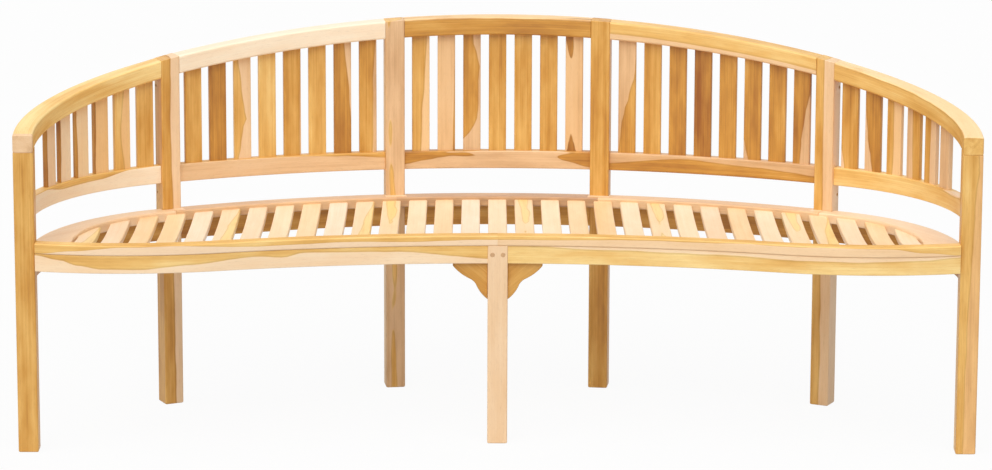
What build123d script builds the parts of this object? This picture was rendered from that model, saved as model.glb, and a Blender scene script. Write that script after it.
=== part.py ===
from build123d import *
import os
from math import asin, atan, cos, degrees, pi, sin, sqrt

# Curved garden bench in solid wood: a slatted back that bends round into two arms, a slatted seat with a
# waved front edge, six posts and a centre leg, held by mortise and tenon joints, pegs and dowels.
# The frame's origin is on the floor under the middle of the bench: X to the right, Y to the rear, Z up.

# Overall sizes in millimetres
bench_width = 2000.0
seat_height = 449.0
back_rise = 378.0
arm_rise = 228.0
arm_mid_rise = 266.0
post_side = 42.0

# Plan of the back: one wide arc that runs into a tighter bend at each arm
arm_bend_radius = 400.0
back_bow = 135.0
inner_post_x = 222.5
outer_post_lead = 45.0
crown_radius = 4200.0

# Plan of the seat's front edge: hollow in the middle, full towards the ends
front_bulge = 25.6
front_bulge_inset = 216.0
front_dip = 103.0
front_end_radius = 790.0

# Rails of the back
top_rail_height = 39.0
lower_rail_height = 39.0
lower_rail_depth = 24.0
lower_rail_clear = 55.5

# Slats of the back
back_slat_width = 38.0
back_slat_thickness = 11.0
back_slat_gap = 17.2
back_slat_end_gap = 8.0
back_slat_housing = 10.0
arm_slat_gap = 15.0
arm_slat_first_gap = 12.5
arm_slat_last_gap = 100.0

# Seat boards and aprons
front_board_width = 30.0
front_board_thickness = 22.0
front_apron_height = 38.0
front_apron_setback = 2.0
apron_thickness = 20.0
seat_fall = 14.5
back_board_thickness = 22.0
back_board_front = 26.0
back_board_rear = 14.0
corner_tightening = 80.0
back_apron_height = 47.0
back_apron_setback = 3.0

# Seat slats
seat_slat_width = 40.0
seat_slat_gap = 17.5
seat_slat_thickness = 13.0
seat_slat_front_drop = 2.0
seat_slat_back_drop = 7.0
seat_dish = 5.0
seat_end_margin = 5.0
tongue_length = 9.0
tongue_thickness = 7.0
tongue_drop = 3.0

# Centre bearer and brackets
bearer_width = 30.0
bearer_height = 30.0
bearer_tenon_length = 10.0
bracket_width = 73.0
bracket_height = 79.0
bracket_lip = 7.0
bracket_thickness = 20.0
bracket_cusp_x = 27.0
bracket_cusp_drop = 39.0
bracket_bulge = 4.0
bracket_hollow_radius = 20.0

# Joints and fasteners
tenon_length = 14.0
tenon_thickness = 12.0
top_tenon_height = 20.0
lower_tenon_height = 22.0
apron_tenon_height = 24.0
arm_stub_side = 18.0
arm_stub_height = 16.0
rail_peg_diameter = 8.0
rail_peg_overrun = 2.0
leg_peg_diameter = 10.0
leg_peg_length = 26.0
leg_peg_spacing = 22.0
front_dowel_diameter = 8.0
front_dowel_length = 24.0
front_dowel_sink = 14.4
front_dowel_pitch = 220.0
back_dowel_diameter = 6.0
back_dowel_length = 20.0
bracket_dowel_diameter = 6.0
bracket_dowel_length = 20.0
screw_head_diameter = 7.0
screw_head_height = 3.0
screw_shank_diameter = 4.0
screw_shank_length = 22.0
screw_bore_depth = 9.0
screw_edge = 9.0
screw_drop = 24.0

# Clearances
joint_fit = 0.2
end_fit = 0.8
peg_fit = 0.1
notch_fit = 0.3

# Levels and places that follow from the sizes above
half_post = post_side / 2
back_height = seat_height + back_rise
arm_height = seat_height + arm_rise
arm_mid_height = seat_height + arm_mid_rise
bend_depth = arm_bend_radius + back_bow
bench_depth = front_bulge + half_post + bend_depth + post_side
front_y = -bench_depth / 2
arm_post_y = front_y + front_bulge
bend_y = arm_post_y + half_post
back_y = bend_y + bend_depth
arm_inner_x = bench_width / 2 - post_side
bend_x = arm_inner_x - arm_bend_radius
back_radius = (bend_x**2 + bend_depth**2 - arm_bend_radius**2) / (2 * back_bow)
back_center_y = back_y - back_radius
bend_angle = asin(bend_x / (back_radius - arm_bend_radius))
bend_start = back_radius * bend_angle
bend_end = bend_start + arm_bend_radius * (pi / 2 - bend_angle)
arm_end = bend_end + half_post
inner_post_s = back_radius * asin(inner_post_x / back_radius)
outer_post_s = bend_start - outer_post_lead
outer_post_x = back_radius * sin(outer_post_s / back_radius)

corner_radius = arm_bend_radius - corner_tightening
corner_x = bend_x + corner_tightening * sin(bend_angle)
corner_y = bend_y + corner_tightening * cos(bend_angle)

front_bulge_x = bench_width / 2 - front_bulge_inset
front_angle = 2 * atan(front_dip / front_bulge_x)
front_radius = front_bulge_x / sin(front_angle) - front_end_radius
front_middle_y = front_y + front_dip
front_center_y = front_middle_y - front_radius
front_end_y = front_y + front_end_radius

front_board_bottom = seat_height - front_board_thickness
front_apron_bottom = front_board_bottom - front_apron_height
back_board_height = seat_height - seat_fall
back_board_bottom = back_board_height - back_board_thickness
back_apron_bottom = back_board_bottom - back_apron_height
lower_rail_bottom = back_board_height + lower_rail_clear
lower_rail_top = lower_rail_bottom + lower_rail_height
lower_rail_setback = (post_side - lower_rail_depth) / 2
slat_front_top = seat_height - seat_slat_front_drop
slat_back_top = back_board_height - seat_slat_back_drop
seat_slat_pitch = seat_slat_width + seat_slat_gap
tall = back_height + post_side


def station(s):
    """Plane on the floor at arc length s from the back's middle: x along the curve, y to its outside."""
    if s <= bend_start:
        angle = s / back_radius
        x, y = back_radius * sin(angle), back_center_y + back_radius * cos(angle)
    elif s <= bend_end:
        angle = bend_angle + (s - bend_start) / arm_bend_radius
        x, y = bend_x + arm_bend_radius * sin(angle), bend_y + arm_bend_radius * cos(angle)
    else:
        angle = pi / 2
        x, y = arm_inner_x, bend_y - (s - bend_end)
    return Plane(origin=(x, y, 0), x_dir=(cos(angle), -sin(angle), 0), z_dir=(0, 0, 1))


def rear_plane(plane):
    """Plane of a post turned so that its x runs out of the post's rear face."""
    corner = plane.from_local_coords((half_post, half_post, 0))
    return Plane(origin=corner, x_dir=plane.y_dir, z_dir=(0, 0, 1))


def top_height(s):
    """Top of the back and the arms at arc length s."""
    if s <= outer_post_s:
        return back_height - crown_radius + sqrt(crown_radius**2 - s**2)
    start = back_height - crown_radius + sqrt(crown_radius**2 - outer_post_s**2)
    u = (s - outer_post_s) / (arm_end - outer_post_s)
    bend = 2 * (start + arm_height - 2 * arm_mid_height)
    return start + (arm_height - start - bend) * u + bend * u**2


def front_edge(x, inset):
    """Y of the seat's front edge at x, moved into the seat by inset."""
    if x <= (front_radius + inset) * sin(front_angle):
        return front_center_y + sqrt((front_radius + inset) ** 2 - x**2)
    return front_end_y - sqrt((front_end_radius - inset) ** 2 - (x - front_bulge_x) ** 2)


def back_edge(x, inset):
    """Y of the seat's rear edge at x, moved into the seat by inset. Its corners bend tighter than the back."""
    if x <= (back_radius - inset) * sin(bend_angle):
        return back_center_y + sqrt((back_radius - inset) ** 2 - x**2)
    return corner_y + sqrt((corner_radius - inset) ** 2 - (x - corner_x) ** 2)


def ring_sector(center, inner, outer, start, end):
    """Part of a flat ring, between two angles in radians turned clockwise from +Y."""
    with BuildSketch() as sector:
        with BuildLine():
            first = degrees(pi / 2 - end)
            near = CenterArc(center, inner, first, degrees(end - start))
            far = CenterArc(center, outer, first, degrees(end - start))
            Line(near @ 0, far @ 0)
            Line(near @ 1, far @ 1)
        make_face()
    return sector.sketch


def back_band(start_s, end_s, near, far):
    """Strip along the back's wide arc, near and far measured outwards from the posts' front faces."""
    angles = start_s / back_radius, end_s / back_radius
    return ring_sector((0, back_center_y), back_radius + near, back_radius + far, *angles)


def arm_band(near, far):
    """Strip from the outer post round the bend and straight on past the arm post."""
    straight_length = 2 * post_side
    with BuildSketch() as strip:
        add(back_band(outer_post_s, bend_start, near, far))
        add(ring_sector((bend_x, bend_y), arm_bend_radius + near, arm_bend_radius + far, bend_angle, pi / 2))
        with Locations((arm_inner_x + near, bend_y)):
            Rectangle(far - near, straight_length, align=(Align.MIN, Align.MAX))
    return strip.sketch


def seat_inside(inset):
    """Right half of the seat inside its rear edge moved in by inset, open to the front."""
    with BuildSketch() as inside:
        add(back_band(0, bend_start, -bench_depth - inset, -inset))
        add(ring_sector((corner_x, corner_y), tongue_length, corner_radius - inset, bend_angle, pi / 2))
        with Locations((corner_x, corner_y)):
            Circle(2 * tongue_length)
        with Locations((0, corner_y)):
            Rectangle(corner_x + corner_radius - inset, bench_depth / 2, align=(Align.MIN, Align.MAX))
    return inside.sketch


def front_band(near, far, start_x, end_x):
    """Strip along the right half of the front edge, between two x, near and far measured into the seat."""
    reach = asin((bench_width / 2 - front_bulge_x) / (front_end_radius - far))
    turn = pi - reach, pi + front_angle
    with BuildSketch() as strip:
        add(ring_sector((0, front_center_y), front_radius + near, front_radius + far, 0, front_angle))
        end_center = (front_bulge_x, front_end_y)
        add(ring_sector(end_center, front_end_radius - far, front_end_radius - near, *turn))
        with Locations((start_x, 0)):
            Rectangle(end_x - start_x, 2 * bench_depth, align=(Align.MIN, Align.CENTER), mode=Mode.INTERSECT)
    return strip.sketch


def post_slab(plane):
    """Everything between the two side faces of a post, to square off what butts against it."""
    with BuildPart() as slab:
        with BuildSketch(plane):
            Rectangle(post_side, 8 * post_side)
        extrude(amount=tall)
    return slab.part


def tenon(plane, side, middle, bottom, height, fit=0.0, length=tenon_length):
    """Tenon into the side of a post, or its mortise when a fit is given."""
    depth = length + (end_fit if fit else 0)
    with BuildPart() as block:
        with BuildSketch(plane.offset(bottom - fit)):
            with Locations((side * (half_post - depth / 2), middle)):
                Rectangle(depth, tenon_thickness + 2 * fit)
        extrude(amount=height + 2 * fit)
    return block.part


def cylinder_at(origin, direction, diameter, length):
    """Round bar from a point along a direction."""
    with BuildPart() as bar:
        with BuildSketch(Plane(origin=origin, z_dir=direction)):
            Circle(diameter / 2)
        extrude(amount=length)
    return bar.part


def slat_block(s, fit=0.0):
    """Slat of the back at arc length s, with its ends in the rails, or its housing when a fit is given."""
    bottom = lower_rail_top - back_slat_housing - fit
    top = top_height(s) - top_rail_height + back_slat_housing + fit
    with BuildPart() as block:
        with BuildSketch(station(s).offset(bottom)):
            with Locations((0, post_side / 2)):
                Rectangle(back_slat_width + 2 * fit, back_slat_thickness + 2 * fit)
        extrude(amount=top - bottom)
    return block.part


def fuse(pieces):
    """Solids gathered into one group."""
    with BuildPart() as group:
        for piece in pieces:
            add(piece)
    return group.part


# Places of the posts and of the slats between them
inner_plane = station(inner_post_s)
outer_plane = station(outer_post_s)
arm_post_plane = Plane(origin=(arm_inner_x + half_post, arm_post_y, 0))
leg_plane = Plane(origin=(0, front_middle_y, 0))


def even_places(start_s, end_s):
    """Middles of the slats that fill a panel of the back evenly."""
    pitch = back_slat_width + back_slat_gap
    count = int((end_s - start_s - 2 * back_slat_end_gap + back_slat_gap) // pitch)
    middle = (start_s + end_s) / 2
    return [middle + (i - (count - 1) / 2) * pitch for i in range(count)]


center_places = even_places(-inner_post_s + half_post, inner_post_s - half_post)
right_places = even_places(inner_post_s + half_post, outer_post_s - half_post)
arm_first = outer_post_s + half_post + arm_slat_first_gap + back_slat_width / 2
arm_slat_pitch = back_slat_width + arm_slat_gap
arm_slat_room = bend_end - half_post - arm_slat_last_gap - back_slat_width / 2 - arm_first
arm_places = [arm_first + i * arm_slat_pitch for i in range(int(arm_slat_room // arm_slat_pitch) + 1)]

# Tenons of the rails and aprons: place across the post, lowest point and height
rail_middle = half_post
back_apron_middle = back_apron_setback + apron_thickness / 2
front_apron_middle = front_apron_setback + apron_thickness / 2
lower_tenon_bottom = lower_rail_bottom + (lower_rail_height - lower_tenon_height) / 2
back_tenon_bottom = back_apron_bottom + (back_apron_height - apron_tenon_height) / 2
front_tenon_bottom = front_apron_bottom + (front_apron_height - apron_tenon_height) / 2
arm_apron_edge = front_edge(arm_inner_x, front_apron_setback + apron_thickness) - arm_post_y
arm_apron_middle = arm_apron_edge - tenon_thickness / 2


def post_joints(s, side):
    """Tenons that enter one side of the back post at arc length s."""
    top_bottom = top_height(s + side * half_post) - (top_rail_height + top_tenon_height) / 2
    return {
        "top": (rail_middle, top_bottom, top_tenon_height),
        "lower": (rail_middle, lower_tenon_bottom, lower_tenon_height),
        "apron": (back_apron_middle, back_tenon_bottom, apron_tenon_height),
    }


def rail_peg(s, side, kind, fit=0.0):
    """Peg through a tenon from the rear face of the back post at arc length s."""
    middle, bottom, height = post_joints(s, side)[kind]
    plane = station(s)
    across = side * (half_post - tenon_length / 2)
    length = post_side - middle + tenon_thickness / 2 + rail_peg_overrun
    origin = plane.from_local_coords((across, post_side, bottom + height / 2))
    return cylinder_at(origin, -plane.y_dir, rail_peg_diameter + 2 * fit, length)


def joint_tenon(s, side, kind):
    """Tenon of a rail or apron at the post at arc length s, with the bore for its peg."""
    block = tenon(station(s), side, *post_joints(s, side)[kind])
    bore = rail_peg(s, side, kind, peg_fit)
    with BuildPart() as pegged:
        add(block)
        add(bore, mode=Mode.SUBTRACT)
    return pegged.part


def back_post(s):
    """Square post of the back at arc length s, its top cut to the slope of the rails."""
    plane = station(s)
    face = Plane(origin=plane.origin, x_dir=plane.x_dir, z_dir=-plane.y_dir)
    cuts = []
    for side in (-1, 1):
        for kind, joint in post_joints(s, side).items():
            cuts.append(tenon(plane, side, *joint, fit=joint_fit))
            cuts.append(rail_peg(s, side, kind, peg_fit))
    with BuildPart() as post:
        with BuildSketch(face):
            with BuildLine():
                left_top = (-half_post, top_height(s - half_post))
                right_top = (half_post, top_height(s + half_post))
                Polyline((-half_post, 0), (half_post, 0), right_top, left_top, close=True)
            make_face()
        extrude(amount=-post_side)
        for cut in cuts:
            add(cut, mode=Mode.SUBTRACT)
    return post


def crowned_profile(start_s, end_s, center_s):
    """Side view of a top rail, drawn over its chord, with the crown as arcs."""
    ends = [back_radius * sin((s - center_s) / back_radius) for s in (start_s, end_s)]
    tops = [top_height(abs(s)) for s in (start_s, center_s, end_s)]
    with BuildSketch() as profile:
        with BuildLine():
            upper = ThreePointArc((ends[0], tops[0]), (0, tops[1]), (ends[1], tops[2]))
            lowered = [top - top_rail_height for top in tops]
            lower = ThreePointArc((ends[0], lowered[0]), (0, lowered[1]), (ends[1], lowered[2]))
            Line(upper @ 0, lower @ 0)
            Line(upper @ 1, lower @ 1)
        make_face()
    return profile.sketch


def top_rail(start_s, end_s, slabs, tenons, places):
    """Top rail between two posts: a curved plank in plan, cut to the crown in side view."""
    center_s = (start_s + end_s) / 2
    angle = center_s / back_radius
    side_view = Plane(
        origin=(0, back_center_y, 0), x_dir=(cos(angle), -sin(angle), 0), z_dir=(-sin(angle), -cos(angle), 0)
    )
    plan = back_band(start_s, end_s, 0, post_side)
    profile = crowned_profile(start_s, end_s, center_s)
    housings = [slat_block(s, joint_fit) for s in places]
    with BuildPart() as rail:
        with BuildSketch():
            add(plan)
        extrude(amount=tall)
        with BuildSketch(side_view):
            add(profile)
        extrude(amount=back_radius + tall, both=True, mode=Mode.INTERSECT)
        for cut in slabs + housings:
            add(cut, mode=Mode.SUBTRACT)
        for block in tenons:
            add(block)
    return rail


def level_strip(plan, bottom, height, cuts, tenons=()):
    """Level strip of one plan shape, trimmed by the cuts and with its tenons on."""
    with BuildPart() as strip:
        with BuildSketch(Plane.XY.offset(bottom)):
            add(plan)
        extrude(amount=height)
        for cut in cuts:
            add(cut, mode=Mode.SUBTRACT)
        for block in tenons:
            add(block)
    return strip


def mirrored(piece):
    """The left-hand twin of a right-hand piece."""
    with BuildPart() as twin:
        mirror(piece, about=Plane.YZ)
    return twin.part


def both_sides(pieces):
    """Right-hand solids and their left-hand twins in one group."""
    return fuse(list(pieces) + [mirrored(piece) for piece in pieces])


# Mirrored slabs and joints of the left inner post, for the pieces that cross the middle
inner_slab = post_slab(inner_plane)
outer_slab = post_slab(outer_plane)
inner_left_slab = mirrored(inner_slab)


def center_tenons(kind):
    """Tenons at both ends of a centre rail or apron."""
    right = joint_tenon(inner_post_s, -1, kind)
    return [right, mirrored(right)]


# Back posts
inner_post = back_post(inner_post_s)
outer_post = back_post(outer_post_s)

# Recessed screws in the outer side of each outer post
screw_places = []
for height in (top_height(outer_post_s) - top_rail_height - screw_drop, lower_rail_bottom - screw_drop):
    screw_places.append(outer_plane.from_local_coords((half_post, post_side - screw_edge, height)))
screw_in = -outer_plane.x_dir
bore_diameter = screw_head_diameter + 2 * peg_fit
pilot_diameter = screw_shank_diameter + 2 * peg_fit
pilot_depth = screw_bore_depth + screw_shank_length
screw_bores = [cylinder_at(place, screw_in, bore_diameter, screw_bore_depth) for place in screw_places]
screw_pilots = [cylinder_at(place, screw_in, pilot_diameter, pilot_depth) for place in screw_places]
with BuildPart() as outer_post_bored:
    add(outer_post.part)
    for bore in screw_bores + screw_pilots:
        add(bore, mode=Mode.SUBTRACT)

screws = []
for place in screw_places:
    head_face = place + screw_in * (screw_bore_depth - screw_head_height)
    head = cylinder_at(head_face, screw_in, screw_head_diameter, screw_head_height)
    shank = cylinder_at(head_face, screw_in, screw_shank_diameter, screw_head_height + screw_shank_length)
    screws.append(fuse([head, shank]))

# Top rails of the back
center_rail = top_rail(
    -inner_post_s, inner_post_s, [inner_slab, inner_left_slab], center_tenons("top"),
    [abs(s) for s in center_places if s >= 0],
)
center_left_housings = [mirrored(slat_block(-s, joint_fit)) for s in center_places if s < 0]
with BuildPart() as top_rail_center:
    add(center_rail.part)
    for housing in center_left_housings:
        add(housing, mode=Mode.SUBTRACT)

right_tenons = [joint_tenon(inner_post_s, 1, "top"), joint_tenon(outer_post_s, -1, "top")]
top_rail_right = top_rail(inner_post_s, outer_post_s, [inner_slab, outer_slab], right_tenons, right_places)

# Arm rail: one section carried round the bend and out to the front of the arm post
arm_stations = [outer_post_s, (outer_post_s + bend_start) / 2, bend_start]
bend_steps = 6
for step in range(1, bend_steps + 1):
    arm_stations.append(bend_start + (bend_end - bend_start) * step / bend_steps)
arm_stations.append(arm_end)

arm_housings = [slat_block(s, joint_fit) for s in arm_places]
arm_tenon = joint_tenon(outer_post_s, 1, "top")
arm_stub_bottom = top_height(bend_end) - top_rail_height


def arm_stub(fit=0.0):
    """Stub tenon on the top of the arm post, or its mortise in the arm when a fit is given."""
    with BuildPart() as stub:
        with BuildSketch(arm_post_plane.offset(arm_stub_bottom - arm_stub_height)):
            with Locations((0, half_post)):
                Rectangle(arm_stub_side + 2 * fit, arm_stub_side + 2 * fit)
        extrude(amount=2 * arm_stub_height + (end_fit if fit else 0))
    return stub.part


arm_mortise = arm_stub(joint_fit)
with BuildPart() as arm_blank:
    for s in arm_stations:
        plane = station(s)
        corner = plane.origin + Vector(0, 0, top_height(s))
        with BuildSketch(Plane(origin=corner, x_dir=plane.y_dir, z_dir=plane.x_dir)):
            Rectangle(post_side, top_rail_height, align=(Align.MIN, Align.MAX))
    loft()

with BuildPart() as arm_rail:
    add(arm_blank.part)
    for cut in [outer_slab, arm_mortise] + arm_housings:
        add(cut, mode=Mode.SUBTRACT)
    add(arm_tenon)

# Lower rails of the back
lower_band = (lower_rail_setback, lower_rail_setback + lower_rail_depth)
arm_rear_plane = rear_plane(arm_post_plane)
with BuildPart() as before_arm_post:
    with BuildSketch():
        with Locations((arm_inner_x, arm_post_y + post_side)):
            Rectangle(bench_width, bench_depth, align=(Align.CENTER, Align.MAX))
    extrude(amount=tall)

lower_center_cuts = [inner_slab, inner_left_slab]
for s in center_places:
    block = slat_block(abs(s), joint_fit)
    lower_center_cuts.append(block if s >= 0 else mirrored(block))
lower_center_plan = back_band(-inner_post_s, inner_post_s, *lower_band)
lower_rail_center = level_strip(
    lower_center_plan, lower_rail_bottom, lower_rail_height, lower_center_cuts, center_tenons("lower")
)

lower_right_cuts = [inner_slab, outer_slab] + [slat_block(s, joint_fit) for s in right_places]
lower_right_tenons = [joint_tenon(inner_post_s, 1, "lower"), joint_tenon(outer_post_s, -1, "lower")]
lower_rail_right = level_strip(
    back_band(inner_post_s, outer_post_s, *lower_band),
    lower_rail_bottom, lower_rail_height, lower_right_cuts, lower_right_tenons,
)

lower_arm_joint = (half_post, lower_tenon_bottom, lower_tenon_height)
lower_end_cuts = [outer_slab, before_arm_post.part] + arm_housings
lower_end_tenons = [joint_tenon(outer_post_s, 1, "lower"), tenon(arm_rear_plane, 1, *lower_arm_joint)]
lower_rail_end = level_strip(
    arm_band(*lower_band), lower_rail_bottom, lower_rail_height, lower_end_cuts, lower_end_tenons
)

# Slats of the back, one group for each panel
slats_center = [slat_block(s) for s in center_places if s >= 0]
slats_center += [mirrored(slat_block(-s)) for s in center_places if s < 0]
slats_right = [slat_block(s) for s in right_places]
slats_end = [slat_block(s) for s in arm_places]

# Back aprons between the posts
apron_band = (back_apron_setback, back_apron_setback + apron_thickness)
bearer_end = back_y + back_apron_setback - notch_fit
bearer_bottom = back_board_bottom - bearer_height
bearer_tenon_bottom = bearer_bottom + (bearer_height - apron_tenon_height) / 2


def bearer_tenon(fit=0.0):
    """Tenon of the bearer in the centre back apron, or its mortise when a fit is given."""
    length = notch_fit + bearer_tenon_length + (end_fit if fit else 0)
    with BuildPart() as block:
        with BuildSketch(Plane.XY.offset(bearer_tenon_bottom - fit)):
            with Locations((0, bearer_end)):
                Rectangle(tenon_thickness + 2 * fit, length, align=(Align.CENTER, Align.MIN))
        extrude(amount=apron_tenon_height + 2 * fit)
    return block.part


def back_dowel(s, fit=0.0):
    """Dowel that ties the back seat board to the apron under it at arc length s."""
    plane = station(s)
    length = back_dowel_length + 2 * (end_fit if fit else 0)
    across = (back_apron_setback + back_board_rear) / 2
    origin = plane.from_local_coords((0, across, back_board_bottom - length / 2))
    return cylinder_at(origin, (0, 0, 1), back_dowel_diameter + 2 * fit, length)


def pair_places(start_s, end_s):
    """Two places that share out a stretch of the back evenly."""
    return [start_s + (end_s - start_s) * share for share in (0.25, 0.75)]


center_dowel_s = inner_post_s / 2
right_dowel_places = pair_places(inner_post_s, outer_post_s)
end_dowel_places = pair_places(outer_post_s, bend_end)
center_dowel_bores = [back_dowel(center_dowel_s, peg_fit), mirrored(back_dowel(center_dowel_s, peg_fit))]
right_dowel_bores = [back_dowel(s, peg_fit) for s in right_dowel_places]
end_dowel_bores = [back_dowel(s, peg_fit) for s in end_dowel_places]

back_apron_center = level_strip(
    back_band(-inner_post_s, inner_post_s, *apron_band), back_apron_bottom, back_apron_height,
    [inner_slab, inner_left_slab, bearer_tenon(joint_fit)] + center_dowel_bores, center_tenons("apron"),
)
back_apron_right = level_strip(
    back_band(inner_post_s, outer_post_s, *apron_band), back_apron_bottom, back_apron_height,
    [inner_slab, outer_slab] + right_dowel_bores,
    [joint_tenon(inner_post_s, 1, "apron"), joint_tenon(outer_post_s, -1, "apron")],
)
arm_apron_joint = (post_side - back_apron_middle, back_tenon_bottom, apron_tenon_height)
back_apron_end = level_strip(
    arm_band(*apron_band), back_apron_bottom, back_apron_height,
    [outer_slab, before_arm_post.part] + end_dowel_bores,
    [joint_tenon(outer_post_s, 1, "apron"), tenon(arm_rear_plane, 1, *arm_apron_joint)],
)

# Back seat boards, notched round the posts and grooved for the slats' tongues
tongue_reach = tongue_length + end_fit
back_groove_bottom = slat_back_top - tongue_drop - tongue_thickness
front_groove_bottom = slat_front_top - tongue_drop - tongue_thickness


def post_notch(plane):
    """Room for a post in a seat board."""
    with BuildPart() as notch:
        with BuildSketch(plane.offset(back_apron_bottom)):
            with Locations((0, -notch_fit)):
                width = post_side + 2 * notch_fit
                Rectangle(width, post_side + 2 * notch_fit, align=(Align.CENTER, Align.MIN))
        extrude(amount=tall)
    return notch.part


def back_groove(plan):
    """Groove along the front edge of a back seat board."""
    with BuildPart() as groove:
        with BuildSketch(Plane.XY.offset(back_groove_bottom - joint_fit)):
            add(plan)
        extrude(amount=tongue_thickness + 2 * joint_fit)
    return groove.part


board_band = (-back_board_front, back_board_rear)
groove_band = (-back_board_front - tongue_length, -back_board_front + tongue_reach)
inner_notch = post_notch(inner_plane)
outer_notch = post_notch(outer_plane)
front_keep_out = front_band(-bench_depth / 4, front_board_width, 0, bench_width / 2)
with BuildPart() as front_of_seat:
    with BuildSketch():
        add(front_keep_out)
    extrude(amount=tall)

back_board_center = level_strip(
    back_band(-inner_post_s, inner_post_s, *board_band), back_board_bottom, back_board_thickness,
    [inner_notch, mirrored(inner_notch), back_groove(back_band(-inner_post_s, inner_post_s, *groove_band))]
    + center_dowel_bores,
)
back_board_right = level_strip(
    back_band(inner_post_s, outer_post_s, *board_band), back_board_bottom, back_board_thickness,
    [inner_notch, outer_notch, back_groove(back_band(inner_post_s, outer_post_s, *groove_band))]
    + right_dowel_bores,
)
end_reach = -back_board_front - 2 * corner_tightening
with BuildSketch() as end_board_plan:
    add(arm_band(end_reach, back_board_rear))
    add(seat_inside(back_board_front), mode=Mode.SUBTRACT)
with BuildSketch() as end_groove_plan:
    add(seat_inside(back_board_front - tongue_reach))
    add(seat_inside(back_board_front + tongue_length), mode=Mode.SUBTRACT)
    add(arm_band(end_reach, back_board_rear), mode=Mode.INTERSECT)
back_board_end = level_strip(
    end_board_plan.sketch, back_board_bottom, back_board_thickness,
    [outer_notch, post_notch(arm_post_plane), front_of_seat.part, back_groove(end_groove_plan.sketch)]
    + end_dowel_bores,
)


# Front seat boards and aprons
def front_dowel(x, fit=0.0):
    """Dowel that ties a front seat board to the apron under it."""
    length = front_dowel_length + 2 * (end_fit if fit else 0)
    across = front_edge(x, front_apron_setback + apron_thickness / 2)
    spare = (length - front_dowel_length) / 2
    origin = (x, across, front_board_bottom - front_dowel_sink - spare)
    return cylinder_at(origin, (0, 0, 1), front_dowel_diameter + 2 * fit, length)


front_dowel_count = int((arm_inner_x - half_post) // front_dowel_pitch)
front_dowel_places = [half_post + (i + 0.5) * front_dowel_pitch for i in range(front_dowel_count)]
front_dowel_bores = [front_dowel(x, peg_fit) for x in front_dowel_places]

with BuildPart() as front_groove:
    with BuildSketch(Plane.XY.offset(front_groove_bottom - joint_fit)):
        add(front_band(front_board_width - tongue_reach, front_board_width + tongue_length, 0, arm_inner_x))
    extrude(amount=tongue_thickness + 2 * joint_fit)
front_board = level_strip(
    front_band(0, front_board_width, 0, arm_inner_x), front_board_bottom, front_board_thickness,
    [front_groove.part] + front_dowel_bores,
)

leg_apron_joint = (front_apron_middle, front_tenon_bottom, apron_tenon_height)
arm_apron_front_joint = (arm_apron_middle, front_tenon_bottom, apron_tenon_height)


def leg_peg(fit=0.0):
    """Right-hand peg through the apron's tenon in the centre leg."""
    height = front_apron_bottom + front_apron_height / 2
    origin = (leg_peg_spacing / 2, front_middle_y, height)
    return cylinder_at(origin, (0, 1, 0), leg_peg_diameter + 2 * fit, leg_peg_length)


apron_end_tenons = [tenon(leg_plane, 1, *leg_apron_joint), tenon(arm_post_plane, -1, *arm_apron_front_joint)]
front_apron_blank = level_strip(
    front_band(front_apron_setback, front_apron_setback + apron_thickness, half_post, arm_inner_x),
    front_apron_bottom, front_apron_height, front_dowel_bores, apron_end_tenons,
)
bracket_front = front_middle_y + (post_side - bracket_thickness) / 2
bracket_middle = bracket_front + bracket_thickness / 2


def bracket_dowels(fit=0.0):
    """Two dowels of the right bracket, one into the leg and one into the apron."""
    length = bracket_dowel_length + 2 * (end_fit if fit else 0)
    diameter = bracket_dowel_diameter + 2 * fit
    middle_x = half_post + bracket_width / 2
    to_leg = (half_post - length / 2, bracket_middle, front_apron_bottom - bracket_height / 2)
    apron_rear = front_edge(middle_x, front_apron_setback + apron_thickness)
    to_apron = (middle_x, (bracket_front + apron_rear) / 2, front_apron_bottom - length / 2)
    directions = {to_leg: (1, 0, 0), to_apron: (0, 0, 1)}
    return [cylinder_at(start, along, diameter, length) for start, along in directions.items()]


bracket_bores = bracket_dowels(peg_fit)
with BuildPart() as front_apron:
    add(front_apron_blank.part)
    for bore in bracket_bores + [leg_peg(peg_fit)]:
        add(bore, mode=Mode.SUBTRACT)

# Ogee bracket between the leg and the apron: two full lobes that meet in a rounded hollow
bracket_face = Plane(origin=(half_post, bracket_front, front_apron_bottom), x_dir=(1, 0, 0), z_dir=(0, -1, 0))


def lobe(start, end):
    """Arc from start to end that bulges out of the bracket."""
    chord = Vector(*end) - Vector(*start)
    out = Vector(-chord.Y, chord.X).normalized()
    crown = (Vector(*start) + Vector(*end)) * 0.5 + out * bracket_bulge
    return ThreePointArc(start, (crown.X, crown.Y), end)


with BuildPart() as bracket:
    with BuildSketch(bracket_face):
        with BuildLine():
            tip = (bracket_width, -bracket_lip)
            cusp = (bracket_cusp_x, -bracket_cusp_drop)
            foot = (0, -bracket_height)
            Polyline(foot, (0, 0), (bracket_width, 0), tip)
            lobe(foot, cusp)
            lobe(cusp, tip)
        make_face()
        fillet(vertices().sort_by_distance(cusp)[0], bracket_hollow_radius)
    extrude(amount=-bracket_thickness)
    for bore in bracket_bores:
        add(bore, mode=Mode.SUBTRACT)

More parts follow.
